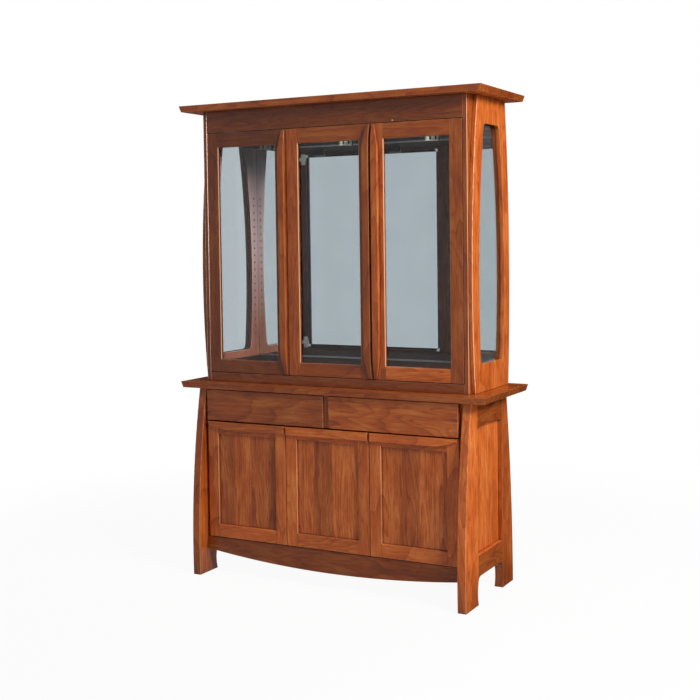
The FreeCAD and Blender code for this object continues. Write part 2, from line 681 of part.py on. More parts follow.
panes = []
for side, sign in sides:

    def outer_edge(edge):
        box = edge.BoundBox
        outside = box.XMin > NEAR if sign > 0 else box.XMax < NEAR
        return outside and box.ZLength > (light_top - light_low).value

    def front_corner(edge):
        return outer_edge(edge) and edge.BoundBox.YMax < NEAR - s["HutchFront"].value

    x_low = hutch_half if sign > 0 else -(hutch_half + s["EndThick"])
    end_frame = side_plate("hutch_end_" + side, x_low, s["EndThick"], [bow, light])
    round_light(end_frame)
    keep(ease(end_frame, outer_edge))
    x_low = hutch_inner if sign > 0 else -hutch_half
    wall = side_plate("hutch_side_" + side, x_low, s["BoardThick"], [case, light])
    round_light(wall)
    pane_low = s["BoardThick"] - s["PaneThick"] if sign > 0 else ZERO
    pane_box = ((pane_low, -s["PaneFront"], light_low - s["PaneMargin"]),
                (pane_low + s["PaneThick"], s["PaneBack"], light_top + s["PaneMargin"]))
    solid_box(wall, "SubtractiveBox", wall.Label + "_rabbet", *pane_box)
    keep(ease(wall, front_corner))
    spare = s["PaneSpare"]
    panes.append(board("side_pane_" + side,
                       (x_low + pane_low, spare - s["PaneFront"], light_low - s["PaneMargin"] + spare),
                       (x_low + pane_low + s["PaneThick"], s["PaneBack"] - spare,
                        light_top + s["PaneMargin"] - spare)))
keep(group("side_glass", panes))

# Hutch: rails, boards, back, mirror and mullion
rail_back = s["RailThick"] - s["HutchFront"]
back_face = s["HutchBack"] - s["HutchBackThick"]
keep(board("frieze_rail", (-hutch_inner, -s["HutchFront"], frieze_low),
           (hutch_inner, rail_back, crown_low)))
keep(board("hutch_bottom_rail", (-hutch_inner, -s["HutchFront"], s["BaseHeight"]),
           (hutch_inner, rail_back, rail_top)))
keep(board("hutch_floor", (-hutch_inner, -s["ShelfFront"], shelf_top - s["BoardThick"]),
           (hutch_inner, back_face, shelf_top)))
keep(board("hutch_ceiling", (-hutch_inner, -s["ShelfFront"], ceiling_low),
           (hutch_inner, back_face, ceiling_low + s["BoardThick"])))
keep(board("hutch_back", (-hutch_inner, back_face, s["BaseHeight"]),
           (hutch_inner, s["HutchBack"], crown_low)))
keep(board("mirror", (-hutch_inner, back_face - s["MirrorThick"], shelf_top),
           (hutch_inner, back_face, ceiling_low)))
glazed_half = hutch_inner - s["GlazedClear"]
glazed_wide = (glazed_half * 2 - s["DoorGap"] * 2) / 3
glazed_edge = glazed_wide / 2 + s["DoorGap"] / 2
arm_front = s["RailThick"] + s["FlangeThick"] + s["ArmGap"] - s["HutchFront"]
keep(board("hutch_mullion", (-(glazed_edge + s["MullionHalf"]), arm_front, shelf_top),
           (s["MullionHalf"] - glazed_edge, arm_front + s["MullionDeep"], ceiling_low)))
pucks = []
for column, place in enumerate(("left", "middle", "right")):
    puck = doc.addObject("Part::Cylinder", "puck_" + place)
    bind(puck, "Radius", s["PuckRadius"])
    bind(puck, "Height", s["PuckThick"])
    bind_place(puck, (glazed_wide + s["DoorGap"]) * (column - 1), s["PuckBack"],
               ceiling_low - s["PuckThick"])
    pucks.append(puck)
keep(group("cabinet_lights", pucks))


# A long pull on a door's free edge, narrower at its ends and swept down to the door there
def tapered_pull(label, edge_x, sign, z_low, z_high):
    tall = z_high - z_low
    body = new_body(label, ZERO, -s["HutchFront"], z_low)
    outer = edge_x - s["PullInset"] * sign
    tip = outer - s["PullEndWide"] * sign
    inner = outer - s["PullMidWide"] * sign
    pad(body, label + "_pad", profile(body, label + "_face", "XZ_Plane", [[
        (outer, ZERO, None), (outer, tall, None),
        (tip, tall, None), (inner, tall - s["PullTaper"], None),
        (inner, s["PullTaper"], None), (tip, ZERO, None),
    ]]), s["PullMidProud"])
    low = -s["PullEndProud"]
    crest = -s["PullMidProud"]
    swell = crest + (low - crest) * PULL_SWEEP_SHARE
    clear = crest - s["PullEndProud"]
    sweep = s["PullSweep"]
    loops = []
    for end, halfway, full in ((ZERO, sweep / 2, sweep), (tall, tall - sweep / 2, tall - sweep)):
        loops.append([(low, end, (swell, halfway)), (crest, full, None),
                      (clear, full, None), (clear, end, None)])
    sweep_cut = body.newObject("PartDesign::Pocket", label + "_sweep")
    sweep_cut.Profile = profile(body, label + "_side", "YZ_Plane", loops)
    sweep_cut.Midplane = True
    bind(sweep_cut, "Length", hutch_half * 2)
    return keep(body)


# Hutch: three glazed doors
hutch_heights = (glazed_low + s["HingeLowSet"], glazed_high - s["HingeTopSet"])
for column, place in enumerate(("left", "middle", "right")):
    x_low = -glazed_half + (glazed_wide + s["DoorGap"]) * column
    hinge_left = place != "right"
    cup_x = s["HutchCupSet"] if hinge_left else glazed_wide - s["HutchCupSet"]
    keep(door_frame("glazed_door_" + place, x_low, glazed_wide, s["HutchFront"], s["RailThick"],
                    glazed_low, glazed_high, s["GlazedStile"], s["GlazedLowRail"],
                    s["GlazedTopRail"], s["GlassInset"], cup_x, hutch_heights))
    door_pane("door_glass_" + place, x_low, glazed_wide, s["HutchFront"], glazed_low, glazed_high,
              s["GlazedStile"], s["GlazedLowRail"], s["GlazedTopRail"], s["GlassInset"], s["PaneThick"])
    hinge_cups("hutch_hinges_" + place, x_low + cup_x, s["RailThick"] - s["HutchFront"], hutch_heights)
    free_edge = x_low + glazed_wide if hinge_left else x_low
    tapered_pull("pull_" + place, free_edge, 1 if hinge_left else -1,
                 glazed_low + s["PullEndClear"], glazed_high - s["PullEndClear"])
plate_y = s["HutchPlateBack"] - s["HutchFront"]
hinge_plates("hutch_plate_left", -hutch_inner, 1, plate_y, arm_front, hutch_heights)
hinge_plates("hutch_plate_middle", s["MullionHalf"] - glazed_edge, 1, plate_y, arm_front, hutch_heights)
hinge_plates("hutch_plate_right", hutch_inner, -1, plate_y, arm_front, hutch_heights)
keep(group("hinge_plates", plates))

# Check every object, then write one file per piece
doc.recompute()
faults = []
for thing in doc.Objects:
    if any(word in thing.State for word in ("Invalid", "Error")):
        faults.append("%s: %s" % (thing.Label, thing.State))
for node in nodes:
    shape = node.Shape
    if shape.isNull() or not shape.isValid() or not shape.Solids:
        faults.append(node.Label + ": bad shape")
if faults:
    raise RuntimeError("; ".join(faults))
os.makedirs("parts", exist_ok=True)
for node in nodes:
    node.Shape.exportStep(os.path.join("parts", node.Label + ".step"))
    box = node.Shape.optimalBoundingBox(False, False)
    print("%-24s solids %2d  volume %10.1f cm3  x %7.1f..%7.1f y %7.1f..%7.1f z %7.1f..%7.1f" % (
        node.Label, len(node.Shape.Solids), node.Shape.Volume / 1000.0,
        box.XMin, box.XMax, box.YMin, box.YMax, box.ZMin, box.ZMax))
print("nodes", len(nodes))
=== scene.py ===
import math
import bmesh
import bpy
from mathutils import Matrix, Vector


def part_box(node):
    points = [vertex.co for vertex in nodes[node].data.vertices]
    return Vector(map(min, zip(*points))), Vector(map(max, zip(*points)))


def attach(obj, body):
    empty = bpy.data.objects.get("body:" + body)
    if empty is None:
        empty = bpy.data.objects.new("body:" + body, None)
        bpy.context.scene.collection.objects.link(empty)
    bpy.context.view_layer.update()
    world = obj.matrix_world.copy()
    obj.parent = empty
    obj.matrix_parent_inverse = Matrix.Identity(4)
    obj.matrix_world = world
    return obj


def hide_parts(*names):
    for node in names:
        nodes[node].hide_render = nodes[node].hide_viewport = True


# Looks of the dresser with hutch: lacquered cherry, tinted panes, mirror back, nickel fittings
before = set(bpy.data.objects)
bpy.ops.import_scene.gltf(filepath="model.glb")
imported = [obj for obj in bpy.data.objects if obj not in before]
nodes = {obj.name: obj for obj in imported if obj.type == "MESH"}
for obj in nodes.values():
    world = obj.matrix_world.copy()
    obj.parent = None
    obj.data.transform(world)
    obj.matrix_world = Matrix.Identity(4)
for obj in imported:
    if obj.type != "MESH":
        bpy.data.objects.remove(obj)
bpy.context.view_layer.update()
MM = 0.001
PLACES = ("left", "middle", "right")
SIDES = ("left", "right")
MATH = "ShaderNodeMath"
VECTOR = "ShaderNodeVectorMath"


# Turns an sRGB hex value into a linear colour
def linear(hex_value):
    channels = []
    for start in (1, 3, 5):
        part = int(hex_value[start:start + 2], 16) / 255
        channels.append(part / 12.92 if part <= 0.04045 else ((part + 0.055) / 1.055) ** 2.4)
    return (*channels, 1.0)


# Adds a node with its settings and links, and gives one of its outputs
def add(tree, kind, values, out=0, **settings):
    made = tree.nodes.new(kind)
    for key, value in settings.items():
        setattr(made, key, value)
    for key, value in values.items():
        if isinstance(value, bpy.types.NodeSocket):
            tree.links.new(value, made.inputs[key])
        else:
            made.inputs[key].default_value = value
    return made.outputs[out]


def new_material(name):
    material = bpy.data.materials.new(name)
    material.use_nodes = True
    material.node_tree.nodes.clear()
    return material, material.node_tree


def close_material(tree, shader):
    surface = tree.nodes.new("ShaderNodeOutputMaterial")
    tree.links.new(shader, surface.inputs["Surface"])


def dress(material, *names):
    for name in names:
        slots = nodes[name].data.materials
        slots.clear()
        slots.append(material)


# Lacquered cherry: flat-sawn hardwood, sanded, stained red-brown and sprayed with satin lacquer.
# The eye gets blotchy streaks along the grain, arched growth rings, a short curl, gum flecks and a calm
# sheen. Eased edges are lighter, partly from scuffing and partly a painted highlight, and closed corners
# get painted shade. Fibres are drawn coarser than real ones, to show.
CHERRY_DARK = linear("#84381a")
CHERRY_MIDDLE = linear("#bd5c24")
CHERRY_LIGHT = linear("#dd8644")
EDGE_WEAR_AND_HIGHLIGHT = linear("#f0b48a")
CHERRY_PAINTED_SHEEN = linear("#c2a5a3")
LETTERS = "XYZ"
# Each figure: how wide it is across the grain, how long along it, and how many finer layers it has
WARP = (120 * MM, 700 * MM, 2.0)
STREAK = (20 * MM, 420 * MM, 3.0)
BLOTCH = (75 * MM, 210 * MM, 2.0)
CURL = (11 * MM, 48 * MM, 2.0)
FIBRE = (3.2 * MM, 60 * MM, 1.0)
FLECK = (2.6 * MM, 17 * MM, 0.0)
FIGURE_ROUGH = 0.55
FIGURE_TWIST = 0.35
STREAK_SHARE = 0.75
BLOTCH_SHARE = 1.05
CURL_SHARE = 0.45
FIBRE_SHARE = 0.7
# Boards, rings and joints
WHOLE_BOARD = 4000 * MM
ARCH_WIDE = 160 * MM
BOARD_STRIDE = 3.37
PART_STRIDE = 7.3
SEED_STRIDE = 11.7
BOARD_SHIFT = (9.0, 9.0, 9.0)
LOWER_RAIL_PART = 2.0
LIP_PART = 4.0
SEAM_HALF = 0.7 * MM
RING_STEP = 9 * MM
RING_SWAY = 70 * MM
RING_DRIFT = 60 * MM
PITH_DEPTH = 38 * MM
LOG_TAPER_SHARE = 0.03
LATE_WOOD_POWER = 3.0
LATE_WOOD_SHARE = 0.4
LATE_WOOD_LIFT_SHARE = 0.1
# Stain, scuffing, painted highlight, sheen and shade, and lacquer
BOARD_SPREAD_SHARE = 0.45
FLECK_LIMIT = 0.73
FLECK_DARK_SHARE = 0.25
SEAM_DARK_SHARE = 0.45
END_GRAIN_SHARE = 0.4
FOOT_REACH = 190 * MM
FOOT_DARK_SHARE = 0.62
INNER_FACE = 619 * MM
INNER_SHEEN_LOW = 1080 * MM
INNER_SHEEN_HIGH = 1450 * MM
INNER_SHEEN_SHARES = (0.1, 0.8)
REVEAL_SHADE_SHARE = 0.12
REVEAL_TURN_SHARES = (0.3, 0.8)
EASED_EDGE = 2.4 * MM
EASED_SAMPLES = 6
EASED_TURN_SHARES = (0.99, 0.8)
EDGE_WEAR_AND_HIGHLIGHT_SHARE = 0.7
CORNER_REACH = 7 * MM
CORNER_SAMPLES = 8
CORNER_OPEN_SHARES = (0.5, 0.95)
CORNER_CLOSED_SHARES = (0.35, 0.9)
CORNER_SHADE_SHARE = 0.35
PORE_DEPTH = 0.35 * MM
PORE_STRENGTH = 0.08
GLOSS_SWING = 0.14
SATIN_ROUGH = 0.19
MATT_ROUGH = 0.6
SATIN_SHINE_SHARE = 0.33
MATT_SHINE_SHARE = 0.05
WOOD_IOR = 1.47


# Turns the axes so that the last one runs along the grain
def laid(tree, axes, order):
    picked = {letter: axes[source] for letter, source in zip(LETTERS, order)}
    return add(tree, "ShaderNodeCombineXYZ", picked)


def figure(tree, moved, size):
    wide, long, layers = size
    sized = add(tree, "ShaderNodeMapping", {"Vector": moved, "Scale": (1 / wide, 1 / wide, 1 / long)})
    return add(tree, "ShaderNodeTexNoise", {"Vector": sized, "Scale": 1.0, "Detail": layers,
                                            "Roughness": FIGURE_ROUGH, "Distortion": FIGURE_TWIST}, "Fac")


# A framed door: rails and lip carry their grain across, stiles upright, with a dark line at each joint
def joined_frame(tree, axes, upright, frame_of):
    centre, reach, middle, lip_face = frame_of
    from_centre = add(tree, MATH, {0: axes["X"], 1: centre}, operation="SUBTRACT")
    off = add(tree, MATH, {0: from_centre}, operation="ABSOLUTE")
    stile = add(tree, MATH, {0: off, 1: reach}, operation="GREATER_THAN")
    right = add(tree, MATH, {0: axes["X"], 1: centre}, operation="GREATER_THAN")
    high = add(tree, MATH, {0: axes["Z"], 1: middle}, operation="GREATER_THAN")
    rail = add(tree, MATH, {0: high, 1: LOWER_RAIL_PART}, operation="ADD")
    part = add(tree, "ShaderNodeMix", {"Factor": stile, "A": rail, "B": right}, "Result")
    level = laid(tree, axes, "ZYX")
    spot = add(tree, "ShaderNodeMix", {"Factor": stile, "A": level, "B": upright}, "Result",
               data_type="VECTOR")
    seam = add(tree, MATH, {0: off, 1: reach, 2: SEAM_HALF}, operation="COMPARE")
    if lip_face is not None:
        lip = add(tree, MATH, {0: axes["Y"], 1: lip_face}, operation="LESS_THAN")
        spot = add(tree, "ShaderNodeMix", {"Factor": lip, "A": spot, "B": level}, "Result",
                   data_type="VECTOR")
        part = add(tree, "ShaderNodeMix", {"Factor": lip, "A": part, "B": LIP_PART}, "Result")
        body = add(tree, MATH, {0: 1.0, 1: lip}, operation="SUBTRACT")
        seam = add(tree, MATH, {0: seam, 1: body}, operation="MULTIPLY")
    return {"spot": spot, "part": part, "seam": seam, "stile": stile, "right": right, "high": high}


# Growth rings: distance from a pith behind the face, drifting along the log
def growth_rings(tree, warp, across, along):
    sway = add(tree, MATH, {0: warp, 1: RING_SWAY, 2: across}, operation="MULTIPLY_ADD")
    ring = add(tree, MATH, {0: sway, 1: sway, 2: PITH_DEPTH ** 2}, operation="MULTIPLY_ADD")
    ring = add(tree, MATH, {0: ring}, operation="SQRT")
    ring = add(tree, MATH, {0: along, 1: LOG_TAPER_SHARE, 2: ring}, operation="MULTIPLY_ADD")
    ring = add(tree, MATH, {0: warp, 1: RING_DRIFT, 2: ring}, operation="MULTIPLY_ADD")
    ring = add(tree, MATH, {0: ring, 1: 1 / RING_STEP}, operation="MULTIPLY")
    ring = add(tree, MATH, {0: ring}, operation="FRACT")
    return add(tree, MATH, {0: ring, 1: LATE_WOOD_POWER}, operation="POWER")


# Splits a face into boards, and draws each one's own figure
def wood_figure(tree, spot, part, seed, board, figured):
    parts = add(tree, "ShaderNodeSeparateXYZ", {"Vector": spot}).node.outputs
    count = add(tree, MATH, {0: parts["X"], 1: 1 / board, 2: seed * BOARD_STRIDE}, operation="MULTIPLY_ADD")
    index = add(tree, MATH, {0: count}, operation="FLOOR")
    if part:
        index = add(tree, MATH, {0: part, 1: PART_STRIDE, 2: index}, operation="MULTIPLY_ADD")
    index = add(tree, MATH, {0: index, 1: seed * SEED_STRIDE}, operation="ADD")
    chance = add(tree, "ShaderNodeTexWhiteNoise", {"W": index}, "Value", noise_dimensions="1D")
    inside = add(tree, MATH, {0: count}, operation="FRACT")
    inside = add(tree, MATH, {0: inside, 1: 0.5}, operation="SUBTRACT")
    across = add(tree, MATH, {0: inside, 1: min(board, ARCH_WIDE)}, operation="MULTIPLY")
    moved = add(tree, VECTOR, {0: chance.node.outputs["Color"], 1: BOARD_SHIFT, 2: spot},
                operation="MULTIPLY_ADD")
    late = growth_rings(tree, figure(tree, moved, WARP), across, parts["Z"])
    streak = figure(tree, moved, STREAK)
    fibre = figure(tree, moved, FIBRE)
    # Adds up the figure about a middle tone of one half
    lifted = 0.5 + LATE_WOOD_LIFT_SHARE * figured
    tone = add(tree, MATH, {0: late, 1: -LATE_WOOD_SHARE * figured, 2: lifted}, operation="MULTIPLY_ADD")
    weights = ((streak, STREAK_SHARE), (figure(tree, moved, BLOTCH), BLOTCH_SHARE),
               (figure(tree, moved, CURL), CURL_SHARE), (fibre, FIBRE_SHARE))
    for noise, weight in weights:
        strength = weight * figured
        swing = add(tree, MATH, {0: noise, 1: strength, 2: -0.5 * strength}, operation="MULTIPLY_ADD")
        tone = add(tree, MATH, {0: tone, 1: swing}, operation="ADD")
    fleck = add(tree, MATH, {0: figure(tree, moved, FLECK), 1: FLECK_LIMIT}, operation="GREATER_THAN")
    return {"tone": tone, "chance": chance, "streak": streak, "fibre": fibre, "fleck": fleck}


def cherry_colour(tree, tone):
    lower = add(tree, MATH, {0: tone, 1: 2.0}, operation="MULTIPLY", use_clamp=True)
    upper = add(tree, MATH, {0: tone, 1: 2.0, 2: -1.0}, operation="MULTIPLY_ADD", use_clamp=True)
    colour = add(tree, "ShaderNodeMix", {"Factor": lower, "A": CHERRY_DARK, "B": CHERRY_MIDDLE}, "Result",
                 data_type="RGBA")
    return add(tree, "ShaderNodeMix", {"Factor": upper, "A": colour, "B": CHERRY_LIGHT}, "Result",
               data_type="RGBA")


# A door's level per part, left and right stile, lower and upper rail: partly board tone, partly painted
# shade and light
def frame_tones_and_shade(tree, door, tones_and_shade):
    on_left, on_right, at_foot, on_top = tones_and_shade
    rails = add(tree, "ShaderNodeMix", {"Factor": door["high"], "A": at_foot, "B": on_top}, "Result")
    stiles = add(tree, "ShaderNodeMix", {"Factor": door["right"], "A": on_left, "B": on_right}, "Result")
    return add(tree, "ShaderNodeMix", {"Factor": door["stile"], "A": rails, "B": stiles}, "Result")


# Behind glass the inner face is painted with a greyed pink sheen, least near the floor of the hutch, and
# its reveals get painted shade
def painted_sheen_inside(tree, colour, axes, ways):
    off_middle = add(tree, MATH, {0: axes["X"]}, operation="ABSOLUTE")
    inner = add(tree, MATH, {0: off_middle, 1: INNER_FACE}, operation="LESS_THAN")
    least, most = INNER_SHEEN_SHARES
    high_up = add(tree, "ShaderNodeMapRange", {"Value": axes["Z"], "From Min": INNER_SHEEN_LOW,
                                               "From Max": INNER_SHEEN_HIGH, "To Min": least, "To Max": most})
    pale = add(tree, MATH, {0: inner, 1: high_up}, operation="MULTIPLY")
    # Reveals turned away from the side get painted shade
    turned_away, square_on = REVEAL_TURN_SHARES
    broad = add(tree, MATH, {0: ways["X"]}, operation="ABSOLUTE")
    broad = add(tree, "ShaderNodeMapRange", {"Value": broad, "From Min": turned_away, "From Max": square_on,
                                             "To Min": REVEAL_SHADE_SHARE, "To Max": 1.0})
    colour = add(tree, VECTOR, {0: colour, "Scale": broad}, operation="SCALE")
    return add(tree, "ShaderNodeMix", {"Factor": pale, "A": colour, "B": CHERRY_PAINTED_SHEEN}, "Result",
               data_type="RGBA")


# Open edges are eased and lighter, partly from scuffing and partly a painted highlight, also on faces
# turned half to the front and half to the side; closed corners get painted shade
def edge_wear_highlight_and_shade(tree, colour, eased, flat, ways, wear_and_highlight):
    facing = add(tree, VECTOR, {0: eased, 1: flat}, "Value", operation="DOT_PRODUCT")
    calm, rounded = EASED_TURN_SHARES
    worn_and_lit = add(tree, "ShaderNodeMapRange", {"Value": facing, "From Min": calm, "From Max": rounded,
                                            "To Min": 0.0, "To Max": 1.0})
    # Faces turned half to the front and half to the side, the rounded corners, get a painted highlight
    diagonal_highlight = add(tree, MATH, {0: ways["X"], 1: ways["Y"]}, operation="MULTIPLY")
    diagonal_highlight = add(tree, MATH, {0: diagonal_highlight}, operation="ABSOLUTE")
    diagonal_highlight = add(tree, MATH, {0: diagonal_highlight, 1: 2.0}, operation="MULTIPLY")
    worn_and_lit = add(tree, MATH, {0: worn_and_lit, 1: diagonal_highlight}, operation="MAXIMUM")
    corner = add(tree, "ShaderNodeAmbientOcclusion", {"Distance": CORNER_REACH}, "AO",
                 samples=CORNER_SAMPLES)
    from_share, to_share = CORNER_OPEN_SHARES
    open_share = add(tree, "ShaderNodeMapRange", {"Value": corner, "From Min": from_share,
                                                  "From Max": to_share, "To Min": 0.0, "To Max": wear_and_highlight})
    worn_and_lit = add(tree, MATH, {0: worn_and_lit, 1: open_share}, operation="MULTIPLY")
    colour = add(tree, "ShaderNodeMix", {"Factor": worn_and_lit, "A": colour, "B": EDGE_WEAR_AND_HIGHLIGHT}, "Result",
                 data_type="RGBA")
    # Closed corners get painted shade from the ambient occlusion
    from_share, to_share = CORNER_CLOSED_SHARES
    corner_shade = add(tree, "ShaderNodeMapRange", {
        "Value": corner, "From Min": from_share, "From Max": to_share,
        "To Min": CORNER_SHADE_SHARE, "To Max": 1.0})
    return add(tree, VECTOR, {0: colour, "Scale": corner_shade}, operation="SCALE")


def lacquered_cherry(name, grain, seed, board, shade, figured, wear_and_highlight, upward_light, frame_of, tones_and_shade, matt, foot,
                     painted_sheen):
    material, tree = new_material(name)
    place = add(tree, "ShaderNodeTexCoord", {}, "Object")
    axes = add(tree, "ShaderNodeSeparateXYZ", {"Vector": place}).node.outputs
    flat = add(tree, "ShaderNodeNewGeometry", {}, "Normal")
    ways = add(tree, "ShaderNodeSeparateXYZ", {"Vector": flat}).node.outputs
    spot = laid(tree, axes, grain)
    door = joined_frame(tree, axes, spot, frame_of) if frame_of else {"spot": spot, "part": None}
    wood = wood_figure(tree, door["spot"], door["part"], seed, board, figured)
    # Each board takes the stain a little differently about the piece's level, which holds its own tone and
    # painted shade or light, and gum flecks stay dark
    spread = BOARD_SPREAD_SHARE * figured * shade
    level = add(tree, MATH, {0: wood["chance"], 1: spread, 2: shade - spread / 2}, operation="MULTIPLY_ADD")
    factors = [add(tree, MATH, {0: wood["fleck"], 1: -FLECK_DARK_SHARE, 2: 1.0}, operation="MULTIPLY_ADD")]
    if tones_and_shade:
        factors.append(frame_tones_and_shade(tree, door, tones_and_shade))
    # The joints of a frame are dark lines; elsewhere end grain drinks more stain
    if frame_of:
        factors.append(add(tree, MATH, {0: door["seam"], 1: -SEAM_DARK_SHARE, 2: 1.0},
                           operation="MULTIPLY_ADD"))
    else:
        end_on = add(tree, MATH, {0: ways[grain[2]]}, operation="ABSOLUTE")
        factors.append(add(tree, MATH, {0: end_on, 1: -END_GRAIN_SHARE, 2: 1.0}, operation="MULTIPLY_ADD"))
    # Faces that look up are painted lighter, for light falling on a narrow step
    if upward_light:
        lit_from_above = add(tree, MATH, {0: ways["Z"], 1: 0.0}, operation="MAXIMUM")
        factors.append(add(tree, MATH, {0: lit_from_above, 1: upward_light, 2: 1.0}, operation="MULTIPLY_ADD"))
    # Legs are darker towards the floor
    if foot:
        factors.append(add(tree, "ShaderNodeMapRange", {
            "Value": axes["Z"], "From Min": 0.0, "From Max": FOOT_REACH,
            "To Min": FOOT_DARK_SHARE, "To Max": 1.0}))
    for factor in factors:
        level = add(tree, MATH, {0: level, 1: factor}, operation="MULTIPLY")
    colour = add(tree, VECTOR, {0: cherry_colour(tree, wood["tone"]), "Scale": level}, operation="SCALE")
    if painted_sheen:
        colour = painted_sheen_inside(tree, colour, axes, ways)
    eased = add(tree, "ShaderNodeBevel", {"Radius": EASED_EDGE}, samples=EASED_SAMPLES)
    colour = edge_wear_highlight_and_shade(tree, colour, eased, flat, ways, wear_and_highlight)
    bump = add(tree, "ShaderNodeBump", {"Height": wood["fibre"], "Strength": PORE_STRENGTH,
                                        "Distance": PORE_DEPTH, "Normal": eased})
    gloss = add(tree, MATH, {0: wood["streak"], 1: GLOSS_SWING, 2: MATT_ROUGH if matt else SATIN_ROUGH},
                operation="MULTIPLY_ADD")
    close_material(tree, add(tree, "ShaderNodeBsdfPrincipled", {
        "Base Color": colour, "Roughness": gloss, "IOR": WOOD_IOR,
        "Specular IOR Level": MATT_SHINE_SHARE if matt else SATIN_SHINE_SHARE, "Normal": bump}))
    return material


# Maple drawer sides: pale close-grained hardwood, planed and oiled, dovetailed at both ends.
# The eye gets a fine straight grain and the darker end grain of the pins.
MAPLE_GRAIN = (90 * MM, 160 * MM, 5 * MM)
MAPLE_LAYERS = 3.0
MAPLE_BUMP = 0.06
MAPLE_ROUGH = 0.36
MAPLE_ROUGH_SWING = 0.2
PIN_PITCH = 26 * MM
JOINT_DEEP = 12.2 * MM
TAIL_HALF = 10.2 * MM
TAIL_SLOPE_SHARE = 0.2
JOINT_LINE = 0.35 * MM
MAPLE_SAMPLES = 4


def dovetailed_maple(name, node):
    low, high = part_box(node)
    material, tree = new_material(name)
    place = add(tree, "ShaderNodeTexCoord", {}, "Object")
    axes = add(tree, "ShaderNodeSeparateXYZ", {"Vector": place}).node.outputs
    sized = add(tree, "ShaderNodeMapping", {"Vector": place, "Scale": [1 / size for size in MAPLE_GRAIN]})
    grain = add(tree, "ShaderNodeTexNoise", {"Vector": sized, "Scale": 1.0, "Detail": MAPLE_LAYERS}, "Fac")
    colour = add(tree, "ShaderNodeMix", {"Factor": grain, "A": linear("#b98a56"), "B": linear("#e0bd8d")},
                 "Result", data_type="RGBA")
    from_middle = add(tree, MATH, {0: axes["Y"], 1: (low.y + high.y) / 2}, operation="SUBTRACT")
    from_middle = add(tree, MATH, {0: from_middle}, operation="ABSOLUTE")
    deep = add(tree, MATH, {0: (high.y - low.y) / 2, 1: from_middle}, operation="SUBTRACT")
    joint = add(tree, MATH, {0: deep, 1: JOINT_DEEP}, operation="LESS_THAN")
    flat = add(tree, "ShaderNodeNewGeometry", {}, "Normal")
    sideways = add(tree, "ShaderNodeSeparateXYZ", {"Vector": flat}, "X")
    sideways = add(tree, MATH, {0: sideways}, operation="ABSOLUTE")
    sideways = add(tree, MATH, {0: sideways, 1: 0.5}, operation="GREATER_THAN")
    joint = add(tree, MATH, {0: joint, 1: sideways}, operation="MULTIPLY")
    step = add(tree, MATH, {0: axes["Z"], 1: low.z}, operation="SUBTRACT")
    step = add(tree, MATH, {0: step, 1: 1 / PIN_PITCH}, operation="MULTIPLY")
    step = add(tree, MATH, {0: step}, operation="FRACT")
    step = add(tree, MATH, {0: step, 1: 0.5}, operation="SUBTRACT")
    step = add(tree, MATH, {0: step}, operation="ABSOLUTE")
    offset = add(tree, MATH, {0: step, 1: PIN_PITCH}, operation="MULTIPLY")
    edge = add(tree, MATH, {0: deep, 1: -TAIL_SLOPE_SHARE, 2: TAIL_HALF}, operation="MULTIPLY_ADD")
    pin = add(tree, MATH, {0: offset, 1: edge}, operation="GREATER_THAN")
    pin = add(tree, MATH, {0: pin, 1: joint}, operation="MULTIPLY")
    line = add(tree, MATH, {0: offset, 1: edge, 2: JOINT_LINE}, operation="COMPARE")
    line = add(tree, MATH, {0: line, 1: joint}, operation="MULTIPLY")
    colour = add(tree, "ShaderNodeMix", {"Factor": pin, "A": colour, "B": linear("#a4774a")}, "Result",
                 data_type="RGBA")
    colour = add(tree, "ShaderNodeMix", {"Factor": line, "A": colour, "B": linear("#5f4226")}, "Result",
                 data_type="RGBA")
    rough = add(tree, MATH, {0: grain, 1: MAPLE_ROUGH_SWING, 2: MAPLE_ROUGH}, operation="MULTIPLY_ADD")
    eased = add(tree, "ShaderNodeBevel", {"Radius": EASED_EDGE}, samples=MAPLE_SAMPLES)
    bump = add(tree, "ShaderNodeBump", {"Height": grain, "Strength": MAPLE_BUMP, "Distance": PORE_DEPTH,
                                        "Normal": eased})
    close_material(tree, add(tree, "ShaderNodeBsdfPrincipled", {
        "Base Color": colour, "Roughness": rough, "IOR": WOOD_IOR, "Normal": bump}))
    return material


# Small plain parts: a finish with a fine cloud in colour and shine, and softly rounded edges
FINISH_EDGE = 0.5 * MM
FINISH_SAMPLES = 4
FINISH_LAYERS = 3.0
FINISH_DEPTH = 0.1 * MM
FINISH_BUMP = 0.05
SHINE_SWING_SHARE = 0.3


def fine_finish(name, dark, light, size, rough, metallic=0.0, edge=FINISH_EDGE):
    material, tree = new_material(name)
    place = add(tree, "ShaderNodeTexCoord", {}, "Object")
    cloud = add(tree, "ShaderNodeTexNoise", {"Vector": place, "Scale": 1 / size, "Detail": FINISH_LAYERS},
                "Fac")
    colour = add(tree, "ShaderNodeMix", {"Factor": cloud, "A": linear(dark), "B": linear(light)}, "Result",
                 data_type="RGBA")
    span = add(tree, "ShaderNodeMapRange", {"Value": cloud, "To Min": rough * (1 - SHINE_SWING_SHARE),
                                            "To Max": rough * (1 + SHINE_SWING_SHARE)})
    eased = add(tree, "ShaderNodeBevel", {"Radius": edge}, samples=FINISH_SAMPLES)
    bump = add(tree, "ShaderNodeBump", {"Height": cloud, "Strength": FINISH_BUMP, "Distance": FINISH_DEPTH,
                                        "Normal": eased})
    close_material(tree, add(tree, "ShaderNodeBsdfPrincipled", {
        "Base Color": colour, "Roughness": span, "Metallic": metallic, "Normal": bump}))
    return material


# Tinted float glass: polished both sides, a cool grey body tint, faintly wavy. Lamp rays pass tinted.
WAVE_SIZE = 140 * MM
WAVE_DEPTH = 0.02 * MM
WAVE_STRENGTH = 0.05
GLASS_IOR = 1.52
GLASS_TINT = "#d4dadd"
LAMP_TINT = "#a4a9ab"


